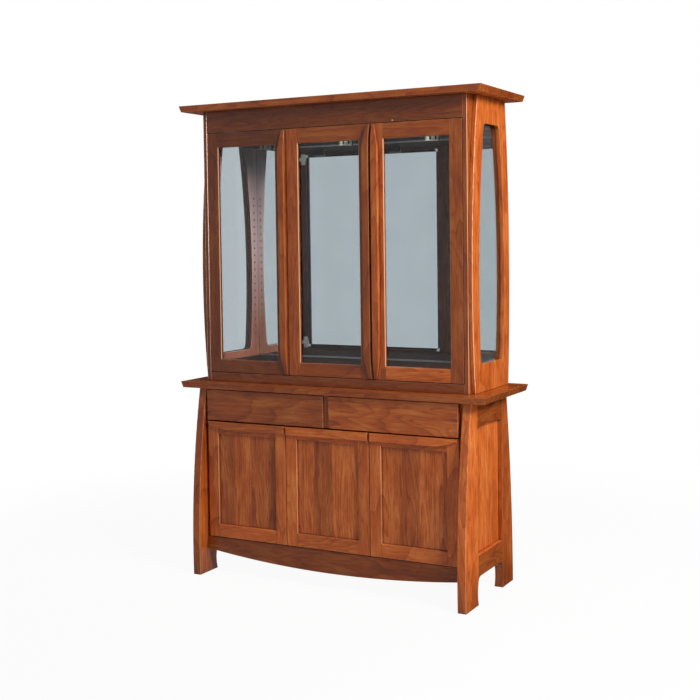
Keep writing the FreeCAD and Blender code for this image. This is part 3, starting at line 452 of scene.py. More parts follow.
def float_glass(name, shine):
    material, tree = new_material(name)
    place = add(tree, "ShaderNodeTexCoord", {}, "Object")
    wave = add(tree, "ShaderNodeTexNoise", {"Vector": place, "Scale": 1 / WAVE_SIZE, "Detail": 0.0}, "Fac")
    bump = add(tree, "ShaderNodeBump", {"Height": wave, "Strength": WAVE_STRENGTH, "Distance": WAVE_DEPTH})
    pane = add(tree, "ShaderNodeBsdfPrincipled", {
        "Base Color": linear(GLASS_TINT), "Roughness": 0.0, "IOR": GLASS_IOR, "Transmission Weight": 1.0,
        "Normal": bump, "Specular Tint": linear(shine)})
    through = add(tree, "ShaderNodeBsdfTransparent", {"Color": linear(LAMP_TINT)})
    lamp_ray = add(tree, "ShaderNodeLightPath", {}, "Is Shadow Ray")
    close_material(tree, add(tree, "ShaderNodeMixShader", {0: lamp_ray, 1: pane, 2: through}))
    return material


# Silvered mirror: bright metal behind polished glass, a faint cool cast, clouded a little by age
MIRROR_ROUGH = 0.004
MIRROR_CLOUD = 0.012
MIRROR_LAYERS = 2.0


def silvered_mirror(name):
    material, tree = new_material(name)
    place = add(tree, "ShaderNodeTexCoord", {}, "Object")
    cloud = add(tree, "ShaderNodeTexNoise", {"Vector": place, "Scale": 1 / WAVE_SIZE,
                                             "Detail": MIRROR_LAYERS}, "Fac")
    colour = add(tree, "ShaderNodeMix", {"Factor": cloud, "A": linear("#e6eaeb"), "B": linear("#f2f5f5")},
                 "Result", data_type="RGBA")
    rough = add(tree, MATH, {0: cloud, 1: MIRROR_CLOUD, 2: MIRROR_ROUGH}, operation="MULTIPLY_ADD")
    close_material(tree, add(tree, "ShaderNodeBsdfPrincipled", {"Base Color": colour, "Metallic": 1.0,
                                                                "Roughness": rough}))
    return material


# Dress the CAD pieces, each with its own cut of the wood. The shares go by a piece's name or its family's.
STILE_WIDE = {"base_door": 54 * MM, "glazed_door": 57 * MM}
LIP_FACES = {"base_door": -204.8 * MM}
SIDE_BOARD = 92 * MM
PANEL_BOARD = 88 * MM
CASE_BOARD = 118 * MM
BACK_BOARD = 210 * MM
MATT_INSIDE = ("hutch_floor", "hutch_ceiling", "hutch_mullion", "base_bottom", "drawer_deck")
FLOOR_FEET = ("leg_front", "leg_back")
PAINTED_SHEEN_INSIDE = ("hutch_side_left",)
FIGURED_USUAL_SHARE = 0.75
FIGURED_SHARES = {"base_panel": 1.0, "drawer_front": 0.9}
# Faces that look up get painted light
UPWARD_LIGHT_SHARES = {"side_rail_bottom": 1.2}
# Share of the lighter eased edges: scuffing and painted highlight
WEAR_AND_HIGHLIGHT_SHARES = {
    "drawer_front": 0.2, "base_door": 0.3, "side_rail_top": 0.4, "side_rail_bottom": 0.4,
    "leg_front": 0.3, "leg_back": 0.3, "base_top": 0.3,
}
# Left stile, right stile, lower rail, upper rail
FRAME_TONE_AND_SHADE_SHARES = {
    "glazed_door_left": (0.8, 0.85, 0.9, 0.68), "glazed_door_middle": (0.88, 0.85, 0.72, 0.75),
    "glazed_door_right": (0.9, 0.6, 1.42, 0.66),
}
# Level of each piece: its own board tone, and painted shade where a piece stands in shadow or far from the
# lamps, as on the left end and left glazed door, the frieze under the crown, the side rails, left drawer
# and apron under the top, the divider in its gap and the boards inside the hutch; the base doors are
# painted lighter
SHADE_SHARES = {
    "leg_front_left": 0.82, "leg_front_right": 1.2, "leg_back_right": 0.68, "side_rail_top": 0.6,
    "side_rail_bottom": 0.6, "hutch_end_right": 1.1, "hutch_end_left": 0.5, "hutch_side": 0.62,
    "base_top": 0.68, "crown": 0.78, "apron": 0.62, "frieze_rail": 0.46, "hutch_bottom_rail": 0.46,
    "glazed_door_left": 0.5, "glazed_door_middle": 0.9, "glazed_door_right": 0.9,
    "pull_left": 0.7, "pull_middle": 0.72, "drawer_front_left": 0.68, "drawer_front_right": 1.12,
    "base_door_left": 1.1, "base_door_middle": 1.15, "base_door_right": 1.15,
    "hutch_floor": 0.12, "hutch_ceiling": 0.18, "hutch_mullion": 0.4, "drawer_divider": 0.5,
}
LEVEL_BOARDS = ("base_top", "crown", "base_bottom", "drawer_deck", "hutch_floor", "hutch_ceiling")
# Family, its members, how the grain lies, width of a board
CUTS = (
    ("leg_front_", SIDES, "YXZ", WHOLE_BOARD),
    ("leg_back_", SIDES, "YXZ", WHOLE_BOARD),
    ("side_rail_top_", SIDES, "ZXY", WHOLE_BOARD),
    ("side_rail_bottom_", SIDES, "ZXY", WHOLE_BOARD),
    ("side_panel_", SIDES, "YXZ", SIDE_BOARD),
    ("drawer_front_", SIDES, "ZYX", WHOLE_BOARD),
    ("hutch_side_", SIDES, "YXZ", WHOLE_BOARD),
    ("hutch_end_", SIDES, "YXZ", WHOLE_BOARD),
    ("base_door_", PLACES, "XYZ", WHOLE_BOARD),
    ("base_panel_", PLACES, "XYZ", PANEL_BOARD),
    ("glazed_door_", PLACES, "XYZ", WHOLE_BOARD),
    ("pull_", PLACES, "XYZ", WHOLE_BOARD),
    ("", LEVEL_BOARDS, "YZX", CASE_BOARD),
    ("", ("apron", "frieze_rail", "hutch_bottom_rail"), "ZYX", WHOLE_BOARD),
    ("", ("base_sides", "base_partitions", "drawer_divider"), "YXZ", CASE_BOARD),
    ("", ("hutch_mullion", "base_back", "hutch_back"), "XYZ", BACK_BOARD),
)


# Middle, half the way between the stiles, middle height and lip of a framed door
def frame_parts(name, family):
    low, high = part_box(name)
    reach = (high.x - low.x) / 2 - STILE_WIDE[family]
    return ((low.x + high.x) / 2, reach, (low.z + high.z) / 2, LIP_FACES.get(family))


def cherry(name, grain, seed, board):
    family = name.rsplit("_", 1)[0]
    finish = lacquered_cherry(
        "lacquered_cherry_" + name, grain, seed, board,
        shade=SHADE_SHARES.get(name, SHADE_SHARES.get(family, 1.0)),
        figured=FIGURED_SHARES.get(family, FIGURED_USUAL_SHARE),
        wear_and_highlight=WEAR_AND_HIGHLIGHT_SHARES.get(name, WEAR_AND_HIGHLIGHT_SHARES.get(family, EDGE_WEAR_AND_HIGHLIGHT_SHARE)),
        upward_light=UPWARD_LIGHT_SHARES.get(family, 0.0),
        frame_of=frame_parts(name, family) if family in STILE_WIDE else None,
        tones_and_shade=FRAME_TONE_AND_SHADE_SHARES.get(name), matt=name in MATT_INSIDE, foot=family in FLOOR_FEET,
        painted_sheen=name in PAINTED_SHEEN_INSIDE)
    dress(finish, name)


seed = 0
for family, members, grain, board in CUTS:
    for member in members:
        seed += 1
        cherry(family + member, grain, seed, board)
for side in SIDES:
    dress(dovetailed_maple("oiled_maple_drawer_" + side, "drawer_box_" + side), "drawer_box_" + side)
NICKEL_CLOUD = 3 * MM
nickel = fine_finish("nickel_plated_steel", "#c9c8c4", "#e6e5e1", NICKEL_CLOUD, rough=0.36, metallic=1.0)
dress(nickel, "hinge_plates", "drawer_runners", *["base_hinges_" + spot for spot in PLACES],
      *["hutch_hinges_" + spot for spot in PLACES])
dress(float_glass("grey_float_glass", "#9a9a9a"), *["door_glass_" + spot for spot in PLACES])
dress(float_glass("grey_coated_glass", "#181818"), "side_glass")
dress(silvered_mirror("silvered_mirror_glass"), "mirror")


# Modelling steps that the new pieces share
MERGE = 0.01 * MM
SMOOTH_ANGLE = math.radians(35)
FACING_SHARE = 0.9
UPRIGHT_SHARE = 0.1
SOFT_SECTIONS = 2


def start_piece(name, operator, **sizes):
    bpy.ops.object.select_all(action="DESELECT")
    operator(**sizes)
    piece = bpy.context.object
    piece.name = name
    bpy.ops.object.transform_apply(location=True, rotation=True, scale=True)
    return piece


# Selects the faces whose middle and normal pass a test
def pick(piece, test):
    bpy.ops.object.mode_set(mode="EDIT")
    bpy.ops.mesh.select_mode(type="FACE")
    bpy.ops.mesh.select_all(action="DESELECT")
    shape = bmesh.from_edit_mesh(piece.data)
    shape.normal_update()
    for face in shape.faces:
        face.select_set(test(face.calc_center_median(), face.normal))
    bmesh.update_edit_mesh(piece.data)


def everything(centre, normal):
    return True


def looks_down(centre, normal):
    return normal.z < -FACING_SHARE


def looks_forward(centre, normal):
    return normal.y < -FACING_SHARE


# Cuts all faces along a plane, and takes the far side off when asked
def cut(piece, spot, normal, off=False):
    pick(piece, everything)
    bpy.ops.mesh.bisect(plane_co=spot, plane_no=normal, clear_outer=off, use_fill=off)


def soften(piece, edge):
    bpy.ops.object.mode_set(mode="OBJECT")
    soft = piece.modifiers.new("soft_edges", "BEVEL")
    soft.width = edge
    soft.segments = SOFT_SECTIONS
    soft.limit_method = "ANGLE"
    bpy.ops.object.modifier_apply(modifier=soft.name)


def close_piece(piece):
    pick(piece, everything)
    bpy.ops.mesh.remove_doubles(threshold=MERGE)
    bpy.ops.mesh.normals_make_consistent(inside=False)
    bpy.ops.object.mode_set(mode="OBJECT")
    bpy.ops.object.shade_smooth_by_angle(angle=SMOOTH_ANGLE)


# Copies a finished master to its places, each copy with its own mesh, and joins them to one piece
def repeat(master, name, places):
    copies = []
    for place in places:
        copy = master.copy()
        copy.data = master.data.copy()
        copy.data.transform(place)
        bpy.context.collection.objects.link(copy)
        copies.append(copy)
    bpy.ops.object.select_all(action="DESELECT")
    for copy in copies:
        copy.select_set(True)
    bpy.context.view_layer.objects.active = copies[0]
    bpy.ops.object.join()
    copies[0].name = name
    return copies[0]


def put_away(master):
    bpy.data.objects.remove(master, do_unlink=True)


def fit(piece, body, slot, *materials):
    for material in materials:
        piece.data.materials.append(material)
    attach(piece, body)


def moved_to(x, y, z):
    return Matrix.Translation((x, y, z))


# Puck lights under the hutch ceiling: enamelled can, vents round its wall; the vent hollows and the rear
# side are painted in shade
PUCK_TALL = 28 * MM
PUCK_RIM = 5 * MM
PUCK_EDGE = 0.6 * MM
PUCK_SPREAD = 411.1 * MM
PUCK_SIDES = 48
VENT_LOW = -24 * MM
VENT_HIGH = -9 * MM
VENT_DEEP = 6 * MM
VENT_SHADE_FROM = 2 * MM
VENT_EVERY = 6
VENT_WIDE = 2
REAR_SHADE_FROM = -3 * MM
LENS_SEAT = 3 * MM
LENS_GAP = 0.4 * MM
LENS_THICK = 2 * MM
LENS_CROWN = 1 * MM
LENS_STEP = 8 * MM
LENS_STEPS = 2
ENAMEL_CLOUD = 4 * MM
VENT_CLOUD = 2 * MM
LENS_CLOUD = 1.5 * MM
enamel = fine_finish("ivory_enamel", "#e6dcc0", "#f4ecd6", ENAMEL_CLOUD, rough=0.35)
vent_shade = fine_finish("shaded_vent", "#16130f", "#241f18", VENT_CLOUD, rough=0.7)
smoked = fine_finish("smoked_lens_glass", "#4a4a46", "#5e5e58", LENS_CLOUD, rough=0.5)


def in_vent_band(centre):
    return VENT_LOW < centre.z < VENT_HIGH


def vent_wall(centre, normal):
    turn = (math.atan2(centre.y, centre.x) / (2 * math.pi)) % 1.0
    slot = int(turn * PUCK_SIDES) % VENT_EVERY < VENT_WIDE
    return slot and abs(normal.z) < UPRIGHT_SHARE and in_vent_band(centre)


# The master can hangs from the XY plane
def puck_can(radius):
    can = start_piece("puck", bpy.ops.mesh.primitive_cylinder_add, vertices=PUCK_SIDES, radius=radius,
                      depth=PUCK_TALL, location=(0, 0, -PUCK_TALL / 2))
    pick(can, looks_down)
    bpy.ops.mesh.inset(thickness=PUCK_RIM)
    bpy.ops.mesh.extrude_region_move(TRANSFORM_OT_translate={"value": (0, 0, LENS_SEAT)})
    cut(can, (0, 0, VENT_LOW), (0, 0, 1))
    cut(can, (0, 0, VENT_HIGH), (0, 0, 1))
    pick(can, vent_wall)
    bpy.ops.mesh.extrude_region_shrink_fatten(TRANSFORM_OT_shrink_fatten={"value": -VENT_DEEP})
    soften(can, PUCK_EDGE)
    close_piece(can)
    for material in (enamel, vent_shade):
        can.data.materials.append(material)
    # Vent hollows and the rear side, towards the mirror, get painted shade
    for face in can.data.polygons:
        vented = in_vent_band(face.center) and face.center.xy.length < radius - VENT_SHADE_FROM
        face.material_index = 1 if vented or face.center.y > REAR_SHADE_FROM else 0
    return can


def puck_lens(radius):
    middle = LENS_SEAT - PUCK_TALL - LENS_THICK / 2
    lens = start_piece("lens", bpy.ops.mesh.primitive_cylinder_add, vertices=PUCK_SIDES,
                       radius=radius - PUCK_RIM - LENS_GAP, depth=LENS_THICK, location=(0, 0, middle))
    pick(lens, looks_down)
    for step in range(LENS_STEPS):
        bpy.ops.mesh.inset(thickness=LENS_STEP)
        bpy.ops.transform.translate(value=(0, 0, -LENS_CROWN / LENS_STEPS))
    close_piece(lens)
    return lens


def puck_lights():
    low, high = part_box("cabinet_lights")
    radius = (high.y - low.y) / 2
    spots = [moved_to(side * PUCK_SPREAD, (low.y + high.y) / 2, high.z) for side in (-1, 0, 1)]
    can = puck_can(radius)
    cans = repeat(can, "puck_light_cans", spots)
    put_away(can)
    fit(cans, "carcass", "light_trim")
    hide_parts("cabinet_lights")
    lens = puck_lens(radius)
    lenses = repeat(lens, "puck_light_lenses", spots)
    put_away(lens)
    fit(lenses, "carcass", "light_trim", smoked)


# Shelf pin sleeves: two rows of turned, blackened bronze bushes in each side of the hutch, the bore floor
# painted in shade
SLEEVE_SIDES = 12
SLEEVE_RADIUS = 4.6 * MM
SLEEVE_PROUD = 0.9 * MM
SLEEVE_WALL = 1.0 * MM
SLEEVE_EDGE = 0.2 * MM
BORE_FLOOR = 0.8 * MM
SLEEVE_ROWS = (-118 * MM, 208 * MM)
SLEEVE_LOW = 1045 * MM
SLEEVE_STEP = 33.5 * MM
SLEEVE_COUNT = 20
SLEEVE_CLOUD = 2 * MM
bronze = fine_finish("blackened_bronze", "#1a110d", "#2c1c14", SLEEVE_CLOUD, rough=0.6, edge=SLEEVE_EDGE)
bore_shade = fine_finish("painted_bore_shade", "#120b08", "#21140e", SLEEVE_CLOUD, rough=0.8)


def shelf_pin_sleeves():
    sleeve = start_piece("sleeve", bpy.ops.mesh.primitive_cylinder_add, vertices=SLEEVE_SIDES,
                         radius=SLEEVE_RADIUS, depth=2 * SLEEVE_PROUD, rotation=(0, math.pi / 2, 0))
    pick(sleeve, lambda centre, normal: normal.x > FACING_SHARE)
    bpy.ops.mesh.inset(thickness=SLEEVE_WALL)
    bpy.ops.mesh.extrude_region_move(TRANSFORM_OT_translate={"value": (-BORE_FLOOR, 0, 0)})
    close_piece(sleeve)
    for material in (bronze, bore_shade):
        sleeve.data.materials.append(material)
    # The shallow bore floor gets painted shade, for the dark of a deep hole
    for face in sleeve.data.polygons:
        floor = face.normal.x > FACING_SHARE and face.center.x < SLEEVE_PROUD / 2
        face.material_index = 1 if floor else 0
    for side, turn in zip(SIDES, (0, math.pi)):
        low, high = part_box("hutch_side_" + side)
        inner = high.x if side == "left" else low.x
        facing = Matrix.Rotation(turn, 4, "Z")
        places = []
        for row in SLEEVE_ROWS:
            for step in range(SLEEVE_COUNT):
                places.append(moved_to(inner, row, SLEEVE_LOW + step * SLEEVE_STEP) @ facing)
        fit(repeat(sleeve, "shelf_pin_sleeves_" + side, places), "carcass", "hinge_steel")
    put_away(sleeve)


# Screws: domed nickel heads with a cross recess
SCREW_SIDES = 16
SCREW_RADIUS = 3.3 * MM
SCREW_PROUD = 1.5 * MM
SCREW_DOME = 0.7 * MM
SCREW_DOME_STEPS = 2
RECESS_HALF = 0.5 * MM
RECESS_REACH = 1.3 * MM
RECESS_DEEP = 1.0 * MM
RECESS_NEAR_SHARE = 1.1


# The master head stands on the XY plane and looks along Z
def screw_head():
    cross = start_piece("recess", bpy.ops.mesh.primitive_cube_add, size=2 * RECESS_HALF,
                        location=(0, 0, SCREW_PROUD - RECESS_DEEP + RECESS_HALF))
    near = RECESS_HALF * RECESS_NEAR_SHARE
    for axis in range(2):
        pick(cross, lambda centre, normal: abs(normal[axis]) > FACING_SHARE and centre.xy.length < near)
        bpy.ops.mesh.extrude_faces_move(TRANSFORM_OT_shrink_fatten={"value": RECESS_REACH})
    close_piece(cross)
    head = start_piece("screw", bpy.ops.mesh.primitive_cylinder_add, vertices=SCREW_SIDES,
                       radius=SCREW_RADIUS, depth=SCREW_PROUD, location=(0, 0, SCREW_PROUD / 2))
    pick(head, lambda centre, normal: normal.z > FACING_SHARE)
    bpy.ops.mesh.bevel(offset=SCREW_DOME, segments=SCREW_DOME_STEPS, affect="EDGES")
    bpy.ops.object.mode_set(mode="OBJECT")
    sink = head.modifiers.new("recess", "BOOLEAN")
    sink.operation = "DIFFERENCE"
    sink.object = cross
    bpy.ops.object.modifier_apply(modifier=sink.name)
    close_piece(head)
    put_away(cross)
    return head


# Plates take their screws on the side that faces into the case, cups on the back of the door
PLATE_THICK = 2.5 * MM
PLATE_DEEP = 22 * MM
PLATE_SCREW = 20 * MM
CUP_SCREW = 20.5 * MM
HINGE_HEIGHTS = {"base": (274.5 * MM, 574.5 * MM), "hutch": (967 * MM, 1887 * MM)}
HINGED_DOORS = {"base": "base_door_", "hutch": "glazed_door_"}
# Where each plate lies across the case, and which way it faces
PLATE_FACES = {
    "base": ((-603 * MM, 1), (-193.7 * MM, 1), (603 * MM, -1)),
    "hutch": ((-618 * MM, 1), (-195.5 * MM, 1), (618 * MM, -1)),
}
PLATE_BACKS = {"base": -118.5 * MM, "hutch": -84 * MM}


def hinge_screws():
    head = screw_head()
    to_back = Matrix.Rotation(-math.pi / 2, 4, "X")
    places = []
    for kind, heights in HINGE_HEIGHTS.items():
        depth = PLATE_BACKS[kind] - PLATE_DEEP / 2
        for face, sign in PLATE_FACES[kind]:
            aside = Matrix.Rotation(sign * math.pi / 2, 4, "Y")
            for height in heights:
                for up in (-PLATE_SCREW, PLATE_SCREW):
                    places.append(moved_to(face + sign * PLATE_THICK, depth, height + up) @ aside)
        for spot in PLACES:
            low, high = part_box(kind + "_hinges_" + spot)
            across = (low.x + high.x) / 2
            cups = [moved_to(across, high.y, height + up) @ to_back
                    for height in heights for up in (-CUP_SCREW, CUP_SCREW)]
            screws = repeat(head, kind + "_cup_screws_" + spot, cups)
            fit(screws, HINGED_DOORS[kind] + spot, "hinge_steel", nickel)
    fit(repeat(head, "hinge_plate_screws", places), "carcass", "hinge_steel", nickel)
    put_away(head)


# Glass clips: pale nylon corners on the back of each glazed door, a foot of each on the pane
CLIP_OUT = 4 * MM
CLIP_IN = 11 * MM
CLIP_THICK = 2.6 * MM
CLIP_EDGE = 0.6 * MM
FOOT_INSET = 1 * MM
NYLON_CLOUD = 6 * MM
nylon = fine_finish("moulded_nylon", "#d5d3c9", "#e9e7de", NYLON_CLOUD, rough=0.45)


def glass_clips():
    centre = (CLIP_IN - CLIP_OUT) / 2
    side = CLIP_IN + CLIP_OUT
    clip = start_piece("clip", bpy.ops.mesh.primitive_cube_add, size=1.0, scale=(side, CLIP_THICK, side),
                       location=(centre, CLIP_THICK / 2, centre))
    cut(clip, (CLIP_IN, 0, 0), (1, 0, 1), off=True)
    cut(clip, (FOOT_INSET, 0, 0), (1, 0, 0))
    cut(clip, (0, 0, FOOT_INSET), (0, 0, 1))
    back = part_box("glazed_door_left")[1].y
    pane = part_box("door_glass_left")[1].y
    pick(clip, lambda middle, normal: looks_forward(middle, normal)
         and min(middle.x, middle.z) > FOOT_INSET)
    bpy.ops.mesh.extrude_region_move(TRANSFORM_OT_translate={"value": (0, pane - back, 0)})
    soften(clip, CLIP_EDGE)
    close_piece(clip)
    for spot in PLACES:
        low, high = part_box("door_glass_" + spot)
        corners = ((low.x, low.z), (low.x, high.z), (high.x, high.z), (high.x, low.z))
        places = [moved_to(x, back, z) @ Matrix.Rotation(turn * math.pi / 2, 4, "Y")
                  for turn, (x, z) in enumerate(corners)]
        fit(repeat(clip, "glass_clips_" + spot, places), "glazed_door_" + spot, "light_trim", nylon)
    put_away(clip)


# Mirror channels: drawn aluminium strips that hold the mirror along its top and foot
CHANNEL_TALL = 6 * MM
CHANNEL_DEEP = 4 * MM
CHANNEL_LIP = 1.2 * MM
CHANNEL_GROOVE = 0.8 * MM
CHANNEL_EDGE = 0.4 * MM
CHANNEL_CLOUD = 5 * MM
aluminium = fine_finish("satin_aluminium", "#b7babb", "#d6d8d8", CHANNEL_CLOUD, rough=0.3, metallic=1.0)


def mirror_channels():
    low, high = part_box("mirror")
    strip = start_piece("channel", bpy.ops.mesh.primitive_cube_add, size=1.0,
                        scale=(high.x - low.x, CHANNEL_DEEP, CHANNEL_TALL),
                        location=((low.x + high.x) / 2, low.y - CHANNEL_DEEP / 2, 0))
    pick(strip, looks_forward)
    bpy.ops.mesh.inset(thickness=CHANNEL_LIP)
    bpy.ops.mesh.extrude_region_move(TRANSFORM_OT_translate={"value": (0, CHANNEL_GROOVE, 0)})
    soften(strip, CHANNEL_EDGE)
    close_piece(strip)
    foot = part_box("hutch_floor")[1].z + CHANNEL_TALL / 2
    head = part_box("hutch_ceiling")[0].z - CHANNEL_TALL / 2
    channels = repeat(strip, "mirror_channels", (moved_to(0, 0, foot), moved_to(0, 0, head)))
    fit(channels, "carcass", "light_trim", aluminium)
    put_away(strip)


# Door stop: a small turned brass stud on the frieze above the right glazed door
STUD_SIDES = 20
STUD_RADIUS = 4.5 * MM
STUD_PROUD = 3.2 * MM
STUD_CROWN = 1.1 * MM
STUD_CROWN_STEPS = 3
STUD_SPOT_X = 308 * MM
STUD_RISE = 4.8 * MM
BRASS_CLOUD = 2 * MM
brass = fine_finish("aged_brass", "#9a7446", "#bd9862", BRASS_CLOUD, rough=0.45, metallic=1.0)


def door_stud():
    low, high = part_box("frieze_rail")
    stud = start_piece("door_stud", bpy.ops.mesh.primitive_cylinder_add, vertices=STUD_SIDES,
                       radius=STUD_RADIUS, depth=STUD_PROUD, rotation=(math.pi / 2, 0, 0),
                       location=(STUD_SPOT_X, low.y - STUD_PROUD / 2, low.z + STUD_RISE))
    pick(stud, looks_forward)
    bpy.ops.mesh.bevel(offset=STUD_CROWN, segments=STUD_CROWN_STEPS, affect="EDGES")
    bpy.ops.object.mode_set(mode="OBJECT")
    close_piece(stud)
    fit(stud, "carcass", "hinge_steel", brass)


puck_lights()
shelf_pin_sleeves()
hinge_screws()
glass_clips()
mirror_channels()
door_stud()

# Camera at the photograph's place, for a square frame
FRAME_SIDE = 700
FOCAL_PIXELS = 1161.94
AXIS_PIXEL = (377.58, 291.07)
SENSOR_WIDE = 36.0
CAMERA_SPOT = (2447.97 * MM, -4427.9 * MM, 1487.21 * MM)
YAW = math.radians(27.47)
PITCH = math.radians(2.60)
ROLL = math.radians(-0.69)


def photo_camera():
    data = bpy.data.cameras.new("photo_camera")
    data.sensor_width = SENSOR_WIDE
    data.lens = FOCAL_PIXELS / FRAME_SIDE * SENSOR_WIDE
    data.shift_x = (FRAME_SIDE / 2 - AXIS_PIXEL[0]) / FRAME_SIDE
    data.shift_y = (AXIS_PIXEL[1] - FRAME_SIDE / 2) / FRAME_SIDE
    camera = bpy.data.objects.new("photo_camera", data)
    bpy.context.collection.objects.link(camera)
    forward = Vector((-math.sin(YAW) * math.cos(PITCH), math.cos(YAW) * math.cos(PITCH), -math.sin(PITCH)))
    level_right = Vector((math.cos(YAW), math.sin(YAW), 0.0))
    level_up = level_right.cross(forward)
    right = level_right * math.cos(ROLL) + level_up * math.sin(ROLL)
    up = level_up * math.cos(ROLL) - level_right * math.sin(ROLL)
    turned = Matrix((right, up, -forward)).transposed().to_4x4()
    camera.matrix_world = Matrix.Translation(CAMERA_SPOT) @ turned
    bpy.context.scene.camera = camera


# Studio: pale floor and white surround, key and kicker from the right, calm fill on the far sides
FLOOR_SIDE = 60.0
FLOOR_NEAR = 1.6
FLOOR_FAR = 3.2
FLOOR_GLOW_SHARES = (0.94, 1.0)
SHEEN_NEAR = 2.0
SHEEN_FAR = 6.5
FLOOR_SHEEN_SHARE = 0.65
SURROUND_FILL_SHARE = 0.09


# 1 for a ray that looks at the surround, 0 for one that only gathers light for a surface
def looks_at(tree):
    path = add(tree, "ShaderNodeLightPath", {}).node.outputs
    seen = add(tree, MATH, {0: path["Is Camera Ray"], 1: path["Is Glossy Ray"]}, operation="MAXIMUM")
    seen = add(tree, MATH, {0: seen, 1: path["Is Transmission Ray"]}, operation="MAXIMUM")
    first = add(tree, MATH, {0: path["Diffuse Depth"], 1: 0.5}, operation="LESS_THAN")
    return add(tree, MATH, {0: seen, 1: first}, operation="MULTIPLY")


# The floor glows white with a trace of shadow, and shines dimmer in the wood near the piece
def studio_floor():
    bpy.ops.object.select_all(action="DESELECT")
    bpy.ops.mesh.primitive_plane_add(size=FLOOR_SIDE, location=(0.0, 0.0, 0.0))
    floor = bpy.context.object
    floor.name = "studio_floor"
    material, tree = new_material("pale_studio_floor")
    place = add(tree, "ShaderNodeTexCoord", {}, "Object")
    reach = add(tree, VECTOR, {0: place}, "Value", operation="LENGTH")
    near, far = FLOOR_GLOW_SHARES
    glow = add(tree, "ShaderNodeMapRange", {"Value": reach, "From Min": FLOOR_NEAR, "From Max": FLOOR_FAR,
                                            "To Min": near, "To Max": far}, interpolation_type="SMOOTHSTEP")
    share = add(tree, MATH, {0: glow, 1: looks_at(tree)}, operation="MULTIPLY")
    shine = add(tree, "ShaderNodeLightPath", {}, "Is Glossy Ray")
    sheen = add(tree, "ShaderNodeMapRange", {"Value": reach, "From Min": SHEEN_NEAR, "From Max": SHEEN_FAR,
                                             "To Min": FLOOR_SHEEN_SHARE, "To Max": 1.0},
                interpolation_type="SMOOTHSTEP")
    strength = add(tree, "ShaderNodeMix", {"Factor": shine, "A": 1.0, "B": sheen}, "Result")
    bright = add(tree, "ShaderNodeEmission", {"Color": linear("#ffffff"), "Strength": strength})
    matt = add(tree, "ShaderNodeBsdfDiffuse", {"Color": linear("#eeeeee")})
    close_material(tree, add(tree, "ShaderNodeMixShader", {0: share, 1: matt, 2: bright}))
    floor.data.materials.append(material)


def white_surround():
    world = bpy.data.worlds.new("white_surround")
    world.use_nodes = True
    tree = world.node_tree
    tree.nodes.clear()
    strength = add(tree, "ShaderNodeMapRange", {"Value": looks_at(tree), "To Min": SURROUND_FILL_SHARE,
                                                "To Max": 1.0})
    back = add(tree, "ShaderNodeBackground", {"Color": linear("#ffffff"), "Strength": strength})
    surface = tree.nodes.new("ShaderNodeOutputWorld")
    tree.links.new(back, surface.inputs["Surface"])
    bpy.context.scene.world = world


# Black felt boards and a floor cloth that keep the pale shine off the end: where each is, what it faces
FLAG_SIDE = 6.0
FLAGS = {
    "dark_flag_upright": ((2.6, 3.4, 1.6), (0.6, 0.0, 1.6)),
    "dark_flag_cloth": ((3.6605, 2.0, 0.001), (3.6605, 2.0, 2.0)),
    "dark_flag_back": ((-1.6, 4.6, 1.6), (-1.6, 0.0, 1.6)),
}


def dark_flag(name, spot, aim):
    bpy.ops.object.select_all(action="DESELECT")
    facing = Vector(aim) - Vector(spot)
    bpy.ops.mesh.primitive_plane_add(size=FLAG_SIDE, location=spot,
                                     rotation=facing.to_track_quat("Z", "Y").to_euler())
    flag = bpy.context.object
    flag.name = name
    material, tree = new_material("black_felt_flag")
    close_material(tree, add(tree, "ShaderNodeBsdfDiffuse", {"Color": linear("#202020")}))
    flag.data.materials.append(material)
    flag.visible_camera = False
    flag.visible_diffuse = False
    flag.visible_transmission = False
    flag.visible_shadow = False


# Lamps of the room
KEY_LAMP = {"spot": (3.9, -1.65, 3.4), "aim": (0.0, 0.0, 1.05), "wide": 1.1, "power": 165.0}
KICKER_LAMP = {"spot": (4.6, -0.6, 3.0), "aim": (0.0, 0.0, 1.05), "wide": 0.9, "power": 72.0}
LEFT_FILL = {"spot": (-4.6, 0.3, 1.6), "aim": (0.0, 0.0, 1.0), "wide": 2.4, "power": 50.0, "shows": False}
BACK_FILL = {"spot": (0.0, 4.8, 1.6), "aim": (0.0, 0.0, 1.0), "wide": 2.4, "power": 75.0, "shows": False}
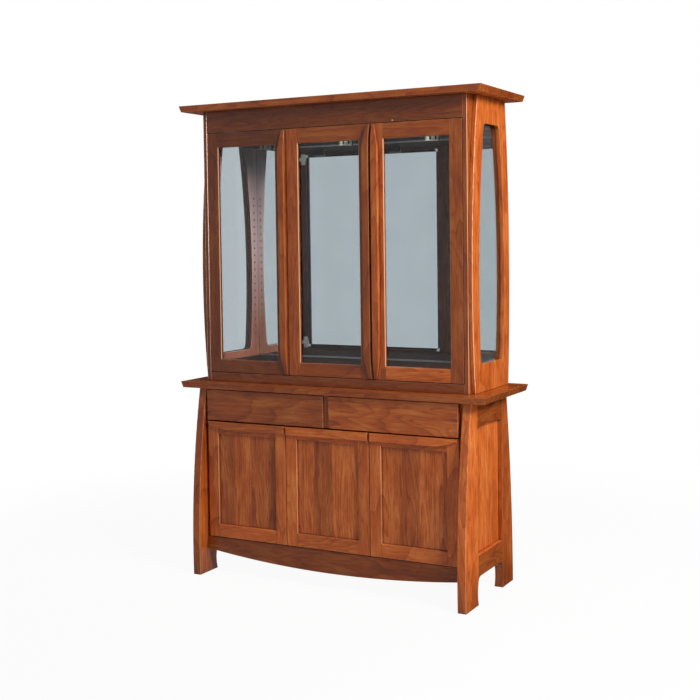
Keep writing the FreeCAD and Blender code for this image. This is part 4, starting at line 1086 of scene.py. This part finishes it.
# Lamps for single pieces behind the panes
SIDE_LAMP = {"spot": (0.615, -1.66, 2.85), "aim": (-0.62, 0.2, 1.3), "wide": 1.4, "power": 225.0,
             "shows": False}
HINGE_LAMP = {"spot": (-0.5, 2.2, 1.45), "aim": (-0.5, -0.1, 1.45), "wide": 0.8, "power": 34.0}
PUCK_LAMP = {"spot": (1.3, -2.3, 1.15), "aim": (0.2055, 0.0, 1.9), "wide": 0.3, "power": 1.2,
             "shows": False, "beam": math.radians(18.0)}
LET_THROUGH = ("glass", "mirror", "hutch_back")


def soft_lamp(name, spot, aim, wide, power, shows=True, beam=math.pi):
    data = bpy.data.lights.new(name, "AREA")
    data.shape = "SQUARE"
    data.size = wide
    data.energy = power
    data.spread = beam
    lamp = bpy.data.objects.new(name, data)
    bpy.context.collection.objects.link(lamp)
    lamp.location = spot
    lamp.rotation_euler = (Vector(aim) - Vector(spot)).to_track_quat("-Z", "Y").to_euler()
    lamp.visible_camera = False
    lamp.visible_glossy = shows
    lamp.visible_transmission = shows
    return lamp


# Lights only the pieces it is given; glass, mirror and hutch back don't shade them
def inside_lamp(name, pieces, **make):
    lamp = soft_lamp(name, **make)
    lit = bpy.data.collections.new("lit_by_" + name)
    for piece in pieces:
        lit.objects.link(piece)
    lamp.light_linking.receiver_collection = lit
    shading = bpy.data.collections.new("shading_for_" + name)
    for node_name, node in nodes.items():
        if not any(word in node_name for word in LET_THROUGH):
            shading.objects.link(node)
    lamp.light_linking.blocker_collection = shading


photo_camera()
studio_floor()
white_surround()
for flag_name, (flag_spot, flag_aim) in FLAGS.items():
    dark_flag(flag_name, flag_spot, flag_aim)
soft_lamp("key_from_right", **KEY_LAMP)
soft_lamp("kicker_from_side", **KICKER_LAMP)
inside_lamp("lamp_on_inner_side", [nodes["hutch_side_left"]], **SIDE_LAMP)
fittings = [nodes["hinge_plates"], bpy.data.objects["hinge_plate_screws"]]
for spot in PLACES:
    fittings.append(nodes["hutch_hinges_" + spot])
    fittings.append(bpy.data.objects["hutch_cup_screws_" + spot])
    fittings.append(bpy.data.objects["glass_clips_" + spot])
inside_lamp("lamp_off_mirror", fittings, **HINGE_LAMP)
inside_lamp("lamp_on_pucks", [bpy.data.objects["puck_light_cans"]], **PUCK_LAMP)
soft_lamp("fill_on_left", **LEFT_FILL)
soft_lamp("fill_on_back", **BACK_FILL)
bpy.context.scene.view_settings.view_transform = "Standard"
